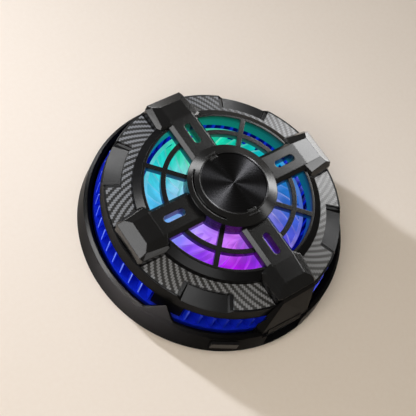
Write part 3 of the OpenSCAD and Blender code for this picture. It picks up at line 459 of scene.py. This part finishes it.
@dataclass(frozen=True)
class Lit(Finish):
    """Milky polycarbonate with a painted glow that stands for the lamps' light from below: a ring of colours,
    paler near the hub, with smoky streaks.
    """

    pale: str = "#ffe0fa"
    veil: float = 0.36
    inner_mm: float = 12.0
    outer_mm: float = 17.5
    crest_mm: float = 18.3
    crest_highlight: float = 0.05
    smoke_mm: float = 6.0
    level: tuple[float, float] = (0.7, 1.12)

    def pattern(self, tree: bpy.types.NodeTree, shader: bpy.types.Node) -> None:
        """Paints the lamps' light as a glow: their colours, the smoke in them, a paler glow near the hub and
        painted highlights on the vanes' crests.

        Args:
            tree: The material's node tree.
            shader: Its Principled shader.
        """
        place, share, radius, height = polar(tree)
        hue = tones(tree, Glow, share)
        smoke = add(tree, "ShaderNodeTexNoise", {"Vector": place, "Scale": 1 / (self.smoke_mm * MM),
                                                 "Detail": 2.5, "Distortion": 0.8})
        # Painted light: the glow turns paler towards the hub
        pale = add(tree, "ShaderNodeMapRange", {0: radius, 1: self.inner_mm * MM, 2: self.outer_mm * MM,
                                                3: self.veil, 4: 0.0})
        veil = add(tree, "ShaderNodeMath", {0: pale.outputs[0], 1: smoke.outputs[0]}, operation="MULTIPLY")
        # Painted highlight: a paler glow on the vanes' crests
        crest = add(tree, "ShaderNodeMath", {0: height, 1: self.crest_mm * MM}, operation="GREATER_THAN")
        edge = add(tree, "ShaderNodeMath", {0: crest.outputs[0], 1: self.crest_highlight, 2: veil.outputs[0]},
                   operation="MULTIPLY_ADD")
        light = add(tree, "ShaderNodeMix", {0: edge.outputs[0], 6: hue, 7: linear(self.pale)},
                    data_type="RGBA")
        level = add(tree, "ShaderNodeMapRange", {0: smoke.outputs[0], 1: NOISE_LOW, 2: NOISE_HIGH,
                                                 3: self.level[0], 4: self.level[1]})
        tree.links.new(light.outputs[2], shader.inputs["Emission Color"])
        tree.links.new(level.outputs[0], shader.inputs["Emission Strength"])


@dataclass(frozen=True)
class Grainy(Finish):
    """A plain material with its own grain, for the inner pieces, the underside and the floor."""

    shade: str = "#808080"
    grain_mm: float = 0.3
    depth_mm: float = 0.01
    relief: float = 0.3
    swing: tuple[float, float] = (0.85, 1.15)

    def pattern(self, tree: bpy.types.NodeTree, shader: bpy.types.Node) -> None:
        """Adds the grain to the colour, the gloss and the relief.

        Args:
            tree: The material's node tree.
            shader: Its Principled shader.
        """
        place = add(tree, "ShaderNodeTexCoord").outputs["Object"]
        grain = add(tree, "ShaderNodeTexNoise",
                    {"Vector": place, "Scale": 1 / (self.grain_mm * MM), "Detail": 3.0})
        tint = add(tree, "ShaderNodeMix", {0: grain.outputs[0], 6: linear(self.colour),
                                           7: linear(self.shade)}, data_type="RGBA")
        gloss = add(tree, "ShaderNodeMapRange", {0: grain.outputs[0], 1: NOISE_LOW, 2: NOISE_HIGH,
                                                 3: self.roughness * self.swing[0],
                                                 4: min(1.0, self.roughness * self.swing[1])})
        bump = add(tree, "ShaderNodeBump", {"Strength": self.relief, "Distance": self.depth_mm * MM,
                                            "Height": grain.outputs[0]})
        tree.links.new(tint.outputs[2], shader.inputs["Base Color"])
        tree.links.new(gloss.outputs[0], shader.inputs["Roughness"])
        tree.links.new(bump.outputs[0], shader.inputs["Normal"])


# Black ABS with a fine spark-eroded grain that shades itself at low angles, so the sides stay near black
SHELL = Moulded("moulded_abs_satin_black", "#0a0a0b", 0.3, shade="#0e0e0f", sheen=0.008)
# The same black, with a painted glow in the lamps' colours on the wall round the fan
DUCT = Moulded("moulded_abs_lit_duct", "#0a0a0b", 0.3, shade="#101011", sheen=0.05, spill_radius_mm=22.55)
# Smoother bars, black where they face away from the light, with a painted glow in the lamps' colours under
# their edges
GRILLE = Moulded("moulded_abs_lit_grille", "#0a0a0b", 0.16, shade="#101011", spill_radius_mm=22.4,
                 spill_mm=(21.3, 22.85), spill=(0.55, 0.0))
# Fine satin from a polished mould: crisp facets, some bright and some dark, with softened edges
FRAME = Moulded("moulded_abs_fine_frame", "#0a0a0b", 0.19, shade="#101011", grain_mm=0.12, edge_mm=0.3)
# The same black on the cable port, with a little more gloss on its flat faces
PORT = Moulded("moulded_abs_port", "#0a0a0b", 0.3, shade="#0e0e0f", sheen=0.03)
# A shade lighter than the base, as a separately moulded cap
BUTTON = Moulded("moulded_abs_button", "#121213", 0.3, shade="#18181a", sheen=0.15)
# Printed twill under lacquer: grey slanting ribs, with a soft sheen on the far side
TWILL = Twill("twill_film_clear_coated", "#7c7e82", 0.4)
# Lathe-turned and dyed black: dark, with narrow bright fans
SPUN = SpunMetal("spun_black_anodised_aluminium", "#2c2c2e", 0.27, 1.0)
# Skived and dyed fins: strong blue, with painted highlights on the cut ends, a painted glow and painted shade
# on one side
BLUE_FINS = Fins("blue_anodised_aluminium", "#1238dc", 0.35, 0.4)
# Milky moulding with a painted glow from green to magenta that stands for the lamps' light it scatters; it
# also dresses the lamps and the light guide
VANES = Lit("lit_milky_polycarbonate", "#14181c", 0.35, ior=1.58)
# Soft moulded pad, matt and a little uneven
SILICONE = Grainy("soft_black_silicone", "#1b1b1c", 0.7, shade="#262628", grain_mm=0.25)
# Faced on a lathe, pale with fine marks
COLD = Grainy("turned_plain_aluminium", "#c4c6c9", 0.3, 1.0, shade="#b2b4b8", grain_mm=0.2)
# Plated: warm silver, smooth, with faint clouds
NICKEL = Grainy("nickel_plated_magnet", "#b5b3ad", 0.25, 1.0, shade="#a5a39e", grain_mm=0.4)
# Stamped and zinc plated: cool grey with a slight spangle
STEEL = Grainy("zinc_plated_steel", "#a9acb0", 0.32, 1.0, shade="#95989d", grain_mm=0.3)
# Fired plates: chalky off-white
ALUMINA = Grainy("fired_alumina", "#ecebe5", 0.6, shade="#e0dfd8", grain_mm=0.2)
# Filled silicone sheet: dull blue-grey
THERMAL = Grainy("filled_silicone_sheet", "#a9b2bf", 0.8, shade="#98a2b0", grain_mm=0.2)
# Cut foam: dark, with open pits
FOAM = Grainy("closed_cell_foam", "#3a3a3c", 0.95, shade="#2c2c2e", grain_mm=0.35, depth_mm=0.06)
# Printed board under lacquer: glossy green
MASK = Grainy("green_solder_mask", "#14532d", 0.35, shade="#0f4626", grain_mm=0.6)
# The lamps' board, lacquered white to throw their light up
WHITE_MASK = Grainy("white_solder_mask", "#e4e4df", 0.45, shade="#d6d6d0", grain_mm=0.6)
# Wound wire under enamel: shiny orange-brown
COPPER = Grainy("enamelled_copper_wire", "#b06a34", 0.3, 1.0, shade="#96552a", grain_mm=0.2)
# Pressed powder bearing: dull gold with small pores
BRONZE = Grainy("sintered_bronze", "#b08a45", 0.45, 1.0, shade="#94723a", grain_mm=0.15)
# Plated contacts: bright gold
GOLD = Grainy("gold_plated_contact", "#d8b04e", 0.22, 1.0, shade="#c69d42", grain_mm=0.2)
# Extruded insulation: plain red, slightly glossy
PVC = Grainy("red_pvc_insulation", "#a81f1f", 0.45, shade="#931a1a", grain_mm=0.4)
# Moulded inner parts: dark and matt
NYLON = Grainy("black_moulded_nylon", "#161617", 0.5, shade="#202021", grain_mm=0.2)


def dress(names: list[str], finish: Finish) -> None:
    """Gives CAD nodes a finish.

    Args:
        names: The nodes' names.
        finish: The finish that they get.
    """
    for name in names:
        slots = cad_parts[name].data.materials
        slots.clear()
        slots.append(finish.material())
        LOG.info("%s is dressed in %s", name, finish.name)


def grown(name: str, tree: bpy.types.GeometryNodeTree, sizes: dict[str, Value]) -> bpy.types.Object:
    """Runs a geometry tree and keeps its result as a plain mesh.

    Args:
        name: Name of the new piece.
        tree: The geometry tree.
        sizes: Values for its inputs, by name.

    Returns:
        The piece, with its place in its mesh.
    """
    host = bpy.data.objects.new(name + "_host", bpy.data.meshes.new(name + "_host"))
    bpy.context.scene.collection.objects.link(host)
    modifier = host.modifiers.new("grow", "NODES")
    modifier.node_group = tree
    keys = {item.name: item.identifier for item in tree.interface.items_tree
            if item.item_type == "SOCKET" and item.in_out == "INPUT"}
    for key, value in sizes.items():
        modifier[keys[key]] = value
    graph = bpy.context.evaluated_depsgraph_get()
    mesh = bpy.data.meshes.new_from_object(host.evaluated_get(graph))
    host.modifiers.remove(modifier)
    bpy.data.objects.remove(host)
    piece = bpy.data.objects.new(name, mesh)
    bpy.context.scene.collection.objects.link(piece)
    return piece


class Socket(Enum):
    """Kind of a geometry tree's input."""

    COUNT = "NodeSocketInt"
    LENGTH = "NodeSocketFloat"
    VECTOR = "NodeSocketVector"


def open_tree(name: str, sizes: dict[str, Socket]) -> tuple[bpy.types.GeometryNodeTree, bpy.types.Node]:
    """Starts a geometry tree with named inputs.

    Args:
        name: Name of the tree.
        sizes: Input names and their kinds.

    Returns:
        The tree and its input node.
    """
    tree = bpy.data.node_groups.new(name, "GeometryNodeTree")
    tree.interface.new_socket("Geometry", in_out="OUTPUT", socket_type="NodeSocketGeometry")
    for key, kind in sizes.items():
        tree.interface.new_socket(key, in_out="INPUT", socket_type=kind.value)
    return tree, add(tree, "NodeGroupInput")


def close_tree(tree: bpy.types.GeometryNodeTree, geometry: bpy.types.NodeSocket, finish: Finish) -> None:
    """Ends a geometry tree with real meshes and a material.

    Args:
        tree: The geometry tree.
        geometry: Socket of the finished geometry.
        finish: The finish of the piece.
    """
    real = add(tree, "GeometryNodeRealizeInstances", {0: geometry})
    dressed = add(tree, "GeometryNodeSetMaterial", {0: real.outputs[0], "Material": finish.material()})
    add(tree, "NodeGroupOutput", {0: dressed.outputs[0]})


def seated(piece: bpy.types.Object, body: str, slot: str, *nodes: str) -> None:
    """Puts a new piece on its body and in place of the nodes that it stands for.

    Args:
        piece: The piece.
        body: The body that it rides on.
        slot: The material slot in the record; not used.
        nodes: CAD nodes that it replaces.
    """
    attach(piece, body)
    if nodes:
        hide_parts(*nodes)
    LOG.info("%s rides on %s with %d faces", piece.name, body, len(piece.data.polygons))


@dataclass
class Base:
    """Base shell with its pad, cold plate, magnets and screws."""

    screw_count: int = 3
    screw_from_deg: float = 90.0
    screw_ring_mm: float = 30.6
    screw_head_mm: float = 1.5
    screw_head_h_mm: float = 1.1
    screw_foot_mm: float = 1.1
    screw_shank_mm: float = 0.8
    screw_len_mm: float = 10.9
    recess_mm: tuple[float, float, float] = (1.7, 0.36, 0.6)
    head_sides: int = 40
    shank_sides: int = 24

    def screws(self) -> bpy.types.Object:
        """Makes the cover screws with cross recesses in their heads.

        Returns:
            The screws as one piece.
        """
        tree, sizes = open_tree("cover_screw_ring", {
            "Count": Socket.COUNT, "Ring Radius": Socket.LENGTH, "Head Radius": Socket.LENGTH,
            "Head Height": Socket.LENGTH, "Shank Radius": Socket.LENGTH, "Shank Length": Socket.LENGTH,
            "Foot": Socket.LENGTH, "Recess": Socket.VECTOR, "Recess Turned": Socket.VECTOR})
        take = sizes.outputs
        head = add(tree, "GeometryNodeMeshCylinder",
                   {"Vertices": self.head_sides, "Radius": take["Head Radius"], "Depth": take["Head Height"]})
        cross = [add(tree, "GeometryNodeMeshCube", {"Size": take[key]})
                 for key in ("Recess", "Recess Turned")]
        half = add(tree, "ShaderNodeMath", {0: take["Head Height"], 1: -0.5}, operation="MULTIPLY")
        down = add(tree, "ShaderNodeCombineXYZ", {"Z": half.outputs[0]})
        slots = add(tree, "GeometryNodeJoinGeometry", {0: cross[0].outputs[0]})
        tree.links.new(cross[1].outputs[0], slots.inputs[0])
        low = add(tree, "GeometryNodeTransform", {0: slots.outputs[0], "Translation": down.outputs[0]})
        cut = add(tree, "GeometryNodeMeshBoolean", {0: head.outputs[0], 1: low.outputs[0]},
                  operation="DIFFERENCE")
        shank = add(tree, "GeometryNodeMeshCylinder", {"Vertices": self.shank_sides,
                                                       "Radius": take["Shank Radius"],
                                                       "Depth": take["Shank Length"]})
        rise = add(tree, "ShaderNodeMath", {0: take["Shank Length"], 1: 0.5}, operation="MULTIPLY")
        up = add(tree, "ShaderNodeCombineXYZ", {"Z": rise.outputs[0]})
        stem = add(tree, "GeometryNodeTransform", {0: shank.outputs[0], "Translation": up.outputs[0]})
        screw = add(tree, "GeometryNodeJoinGeometry", {0: cut.outputs[0]})
        tree.links.new(stem.outputs[0], screw.inputs[0])
        ring = add(tree, "GeometryNodeMeshCircle", {"Vertices": take["Count"], "Radius": take["Ring Radius"]})
        lift = add(tree, "ShaderNodeCombineXYZ", {"Z": take["Foot"]})
        turned = add(tree, "GeometryNodeTransform", {0: ring.outputs[0], "Translation": lift.outputs[0],
                                                     "Rotation": (0, 0, math.radians(self.screw_from_deg))})
        copies = add(tree, "GeometryNodeInstanceOnPoints",
                     {0: turned.outputs[0], "Instance": screw.outputs[0]})
        close_tree(tree, copies.outputs[0], STEEL)
        long, thin, deep = (v * MM for v in self.recess_mm)
        return grown("cover_screws_cross", tree, {
            "Count": self.screw_count, "Ring Radius": self.screw_ring_mm * MM,
            "Head Radius": self.screw_head_mm * MM, "Head Height": self.screw_head_h_mm * MM,
            "Shank Radius": self.screw_shank_mm * MM, "Shank Length": self.screw_len_mm * MM,
            "Foot": (self.screw_foot_mm + self.screw_head_h_mm / 2) * MM,
            "Recess": (long, thin, deep), "Recess Turned": (thin, long, deep)})

    def build(self) -> None:
        """Dresses the base and adds its screws."""
        dress(["base_shell"], SHELL)
        dress(["contact_pad"], SILICONE)
        dress(["cold_plate"], COLD)
        dress(["magnets"], NICKEL)
        dress(["magnet_yoke", "cover_screws"], STEEL)
        seated(self.screws(), "housing", "steel", "cover_screws")


@dataclass
class CoolingStack:
    """Thermoelectric module with its pads, foam and leads, and the heat sink over it."""

    def build(self) -> None:
        """Dresses the stack."""
        dress(["thermal_pad_cold", "thermal_pad_hot"], THERMAL)
        dress(["peltier"], ALUMINA)
        dress(["peltier_leads"], PVC)
        dress(["foam_frame"], FOAM)
        dress(["heat_sink"], BLUE_FINS)


@dataclass
class Electronics:
    """Control board with the cable socket, the switch and the link to the light board."""

    port_deg: float = 267.0
    mid_mm: float = 5.87
    tongue_t_mm: float = 0.7
    contact_mm: tuple[float, float, float] = (3.6, 0.25, 0.06)
    contact_front_mm: float = 33.0
    pitch_mm: float = 0.5
    count: int = 12

    def contacts(self) -> bpy.types.Object:
        """Makes the rows of contacts on both sides of the socket's tongue.

        Returns:
            The contacts as one piece.
        """
        tree, sizes = open_tree("socket_contact_rows", {
            "Count": Socket.COUNT, "Pitch": Socket.VECTOR, "Start": Socket.VECTOR,
            "Contact": Socket.VECTOR, "Other Side": Socket.VECTOR, "Turn": Socket.VECTOR})
        take = sizes.outputs
        row = add(tree, "GeometryNodeMeshLine", {"Count": take["Count"], "Start Location": take["Start"],
                                                 "Offset": take["Pitch"]})
        finger = add(tree, "GeometryNodeMeshCube", {"Size": take["Contact"]})
        upper = add(tree, "GeometryNodeInstanceOnPoints", {0: row.outputs[0], "Instance": finger.outputs[0]})
        lower = add(tree, "GeometryNodeTransform", {0: upper.outputs[0], "Translation": take["Other Side"]})
        both = add(tree, "GeometryNodeJoinGeometry", {0: upper.outputs[0]})
        tree.links.new(lower.outputs[0], both.inputs[0])
        faced = add(tree, "GeometryNodeTransform", {0: both.outputs[0], "Rotation": take["Turn"]})
        close_tree(tree, faced.outputs[0], GOLD)
        gap = self.tongue_t_mm + self.contact_mm[2]
        return grown("socket_contacts", tree, {
            "Count": self.count, "Pitch": (0, self.pitch_mm * MM, 0),
            "Start": ((self.contact_front_mm - self.contact_mm[0] / 2) * MM,
                      -(self.count - 1) / 2 * self.pitch_mm * MM, (self.mid_mm + gap / 2) * MM),
            "Contact": tuple(v * MM for v in self.contact_mm),
            "Other Side": (0, 0, -gap * MM), "Turn": (0, 0, math.radians(self.port_deg))})

    def build(self) -> None:
        """Dresses the electronics and adds the socket's contacts."""
        dress(["control_board"], MASK)
        dress(["led_board"], WHITE_MASK)
        dress(["usb_socket", "tact_switch", "board_screws"], STEEL)
        dress(["usb_tongue"], NYLON)
        dress(["board_link"], GOLD)
        seated(self.contacts(), "housing", "brass_part")


@dataclass
class Fan:
    """Motor, impeller and the lamps under them."""

    def build(self) -> None:
        """Dresses the fan and the lamps."""
        dress(["leds", "light_guide", "impeller"], VANES)
        dress(["motor_base"], NYLON)
        dress(["motor_screws", "stator", "shaft", "rotor_cup"], STEEL)
        dress(["bearing"], BRONZE)
        dress(["coils"], COPPER)
        dress(["rotor_magnet"], NICKEL)


@dataclass
class Cover:
    """Cover with its deck inlays and the grille."""

    quarters: tuple[int, ...] = (1, 2, 3, 4)

    def build(self) -> None:
        """Dresses the cover."""
        dress(["top_cover"], DUCT)
        dress([f"carbon_inlay_{i}" for i in self.quarters], TWILL)
        dress(["grille"], GRILLE)


@dataclass
class Crown:
    """Four-armed frame, hub ring, cap, port housing and button."""

    def build(self) -> None:
        """Dresses the frame and its small pieces."""
        dress(["top_frame", "hub_ring"], FRAME)
        dress(["port_housing", "port_visor"], PORT)
        dress(["power_button"], BUTTON)
        dress(["centre_cap"], SPUN)


@dataclass
class Softbox:
    """A rectangular light or card that faces the object, and may be kept to some pieces."""

    name: str
    azimuth_deg: float
    elevation_deg: float
    distance: float
    size: tuple[float, float]
    power: float
    diffuse: bool = True
    gloss: bool = True
    tint: str = "#ffffff"
    spread_deg: float = 180.0
    only: tuple[str, ...] = ()
    spared: tuple[str, ...] = ()
    aim_height: float = 0.012

    @classmethod
    def card(cls, name: str, azimuth_deg: float, elevation_deg: float, distance: float,
             size: tuple[float, float], power: float, *only: str) -> "Softbox":
        """Makes a card that shows only in the gloss of the named pieces.

        Args:
            name: Name of the card.
            azimuth_deg: Angle from +X round the fan's axis.
            elevation_deg: Angle above the floor.
            distance: Distance from the object, in metres.
            size: Width and height, in metres.
            power: Power, in watts.
            only: CAD nodes that show it.

        Returns:
            The card.
        """
        return cls(name, azimuth_deg, elevation_deg, distance, size, power, diffuse=False, only=only)

    def build(self) -> None:
        """Hangs the light."""
        lamp = bpy.data.lights.new(self.name, "AREA")
        lamp.shape = "RECTANGLE"
        lamp.size, lamp.size_y = self.size
        lamp.energy = self.power
        lamp.color = linear(self.tint)[:3]
        lamp.spread = math.radians(self.spread_deg)
        holder = bpy.data.objects.new(self.name, lamp)
        holder.visible_diffuse, holder.visible_glossy = self.diffuse, self.gloss
        way = direction(self.azimuth_deg, self.elevation_deg)
        place = way * self.distance + Vector((0, 0, self.aim_height))
        holder.matrix_world = Matrix.Translation(place) @ way.to_track_quat("Z", "Y").to_matrix().to_4x4()
        bpy.context.scene.collection.objects.link(holder)
        if self.only or self.spared:
            self.flag(holder)
        LOG.info("%s shines", self.name)

    def flag(self, holder: bpy.types.Object) -> None:
        """Keeps the light on some nodes only, or off some nodes or the floor.

        Args:
            holder: The light's object.
        """
        lit = bpy.data.collections.new(self.name + "_reach")
        for name in self.only + self.spared:
            lit.objects.link(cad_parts.get(name) or bpy.data.objects[name])
        for item in lit.collection_objects:
            item.light_linking.link_state = "INCLUDE" if self.only else "EXCLUDE"
        holder.light_linking.receiver_collection = lit


@dataclass
class Studio:
    """Floor, lights and camera."""

    floor_size: float = 6.0
    floor_tint: str = "#f0e5d9"
    floor_shade: str = "#ede1d4"
    room_tint: str = "#fff8ea"
    room_level: float = 0.16
    camera_azimuth_deg: float = 208.81
    camera_elevation_deg: float = 58.37
    camera_roll_deg: float = 29.98
    camera_distance: float = 0.27141
    target_height: float = 0.003
    focal_px: float = 1000.0
    image_px: float = 416.0
    sensor_mm: float = 36.0
    clip_start: float = 0.01
    target_offset_px: tuple[float, float] = (1.34, -17.52)
    boxes: list[Softbox] = field(default_factory=lambda: [
        Softbox("key_softbox", 116, 17, 0.45, (0.03, 0.03), 0.262, gloss=False, tint="#ebf1fd",
                spread_deg=58),
        Softbox("fill_softbox", 196, 54, 0.55, (0.4, 0.4), 2.08, gloss=False, tint="#fff8ee"),
        Softbox("side_softbox", 300, 50, 0.7, (0.4, 0.4), 0.5, gloss=False, tint="#fff8ee",
                spared=("heat_sink", FLOOR)),
        Softbox("far_card", 17, 39, 0.75, (0.3, 0.3), 3.2, diffuse=False, spared=("centre_cap",)),
        Softbox("left_card", 159, 37, 0.8, (0.28, 0.42), 1.5, diffuse=False, spared=("centre_cap",)),
        Softbox.card("ring_card", 2, 18, 0.8, (0.2, 0.16), 0.7, "hub_ring"),
        Softbox.card("ring_strip", 6, 18, 0.8, (1.0, 0.16), 1.6, "hub_ring"),
        Softbox.card("ring_left_card", 84, 33, 0.8, (0.25, 0.12), 1.0, "hub_ring"),
        Softbox.card("ring_right_card", 331, 35, 0.8, (0.15, 0.12), 0.2, "hub_ring"),
        Softbox.card("scoop_card", 80, 45, 0.8, (0.12, 0.12), 7.0, "top_cover"),
        Softbox.card("zenith_card", 262, 85, 0.8, (0.12, 0.12), 3.0, "top_cover"),
        Softbox.card("low_card", 46, 22, 0.8, (0.12, 0.2), 4.0, "top_cover"),
        Softbox.card("right_card", 350, 33, 0.8, (0.1, 0.12), 2.4, "top_cover"),
        Softbox.card("bezel_card", 138, 44, 0.8, (0.24, 0.2), 12.0, "top_cover"),
        Softbox.card("front_card", 222, 58, 0.8, (0.4, 0.14), 3.5, "top_cover"),
        Softbox.card("rim_card", 152, 19, 0.8, (0.45, 0.14), 100.0, "base_shell"),
        Softbox.card("gusset_card", 93, 12, 0.8, (0.12, 0.12), 110.0, "base_shell"),
        Softbox.card("claw_card", 332, 40, 0.8, (0.2, 0.2), 0.85, "top_frame"),
        Softbox.card("claw_far_card", 76, 3, 0.5, (0.16, 0.08), 0.5, "top_frame"),
        Softbox.card("claw_left_card", 148, 4, 0.5, (0.12, 0.09), 0.17, "top_frame"),
        Softbox.card("claw_low_card", 282, 3, 0.5, (0.12, 0.08), 0.05, "top_frame"),
        Softbox.card("claw_right_card", 15, 2, 0.14, (0.1, 0.034), 0.07, "top_frame"),
        Softbox("base_lamp", 190, 14, 0.11, (0.02, 0.02), 0.05, gloss=False, tint="#fff4ea", spread_deg=24,
                only=("base_shell",)),
        Softbox.card("cap_strip", 26, 31, 0.8, (0.05, 0.45), 2.2, "centre_cap"),
        Softbox.card("cap_card", 1, 42, 0.8, (0.06, 0.2), 1.0, "centre_cap"),
        Softbox.card("back_card", 61, 28, 0.8, (0.08, 0.1), 0.25, "centre_cap"),
    ])

    def floor(self) -> None:
        """Lays the pale floor."""
        mesh = bpy.data.meshes.new(FLOOR)
        h = self.floor_size / 2
        mesh.from_pydata([(-h, -h, 0), (h, -h, 0), (h, h, 0), (-h, h, 0)], [], [(0, 1, 2, 3)])
        plane = bpy.data.objects.new(FLOOR, mesh)
        bpy.context.scene.collection.objects.link(plane)
        # Pressed paper: matt and pale, with faint clouds
        paper = Grainy("cream_paper", self.floor_tint, 0.85, shade=self.floor_shade, grain_mm=1.2)
        mesh.materials.append(paper.material())

    def camera(self) -> None:
        """Sets the camera at the photograph's viewpoint."""
        r = math.radians(self.camera_roll_deg)
        back = direction(self.camera_azimuth_deg, self.camera_elevation_deg)
        right = Vector((0, 0, 1)).cross(back).normalized()
        up = back.cross(right)
        axis_x = math.cos(r) * right + math.sin(r) * up
        axis_y = math.cos(r) * up - math.sin(r) * right
        across, above = self.target_offset_px
        seen = (axis_x * across + axis_y * above) / self.focal_px - back
        aim = seen.normalized().rotation_difference(-back)
        axes = [aim @ v for v in (axis_x, axis_y, back)]
        place = back * self.camera_distance + Vector((0, 0, self.target_height))
        lens = bpy.data.cameras.new("photo_camera")
        lens.sensor_width = self.sensor_mm
        lens.lens = self.sensor_mm * self.focal_px / self.image_px
        lens.clip_start = self.clip_start
        eye = bpy.data.objects.new("photo_camera", lens)
        eye.matrix_world = Matrix.Translation(place) @ Matrix(axes).transposed().to_4x4()
        bpy.context.scene.collection.objects.link(eye)
        bpy.context.scene.camera = eye

    def world(self) -> None:
        """Fills the room with dim even light."""
        room = bpy.data.worlds.new("studio_room")
        room.use_nodes = True
        light = room.node_tree.nodes["Background"].inputs
        light["Color"].default_value = linear(self.room_tint)
        light["Strength"].default_value = self.room_level
        bpy.context.scene.world = room

    def build(self) -> None:
        """Sets up the whole studio."""
        self.floor()
        self.camera()
        self.world()
        for box in self.boxes:
            box.build()
        bpy.context.scene.view_settings.view_transform = "Standard"


def main() -> None:
    """Builds the studio and every sub-assembly."""
    logging.basicConfig(level=logging.INFO, format="%(message)s")
    for part in (Studio(), Base(), CoolingStack(), Electronics(), Fan(), Cover(), Crown()):
        part.build()


if __name__ == "__main__":
    main()
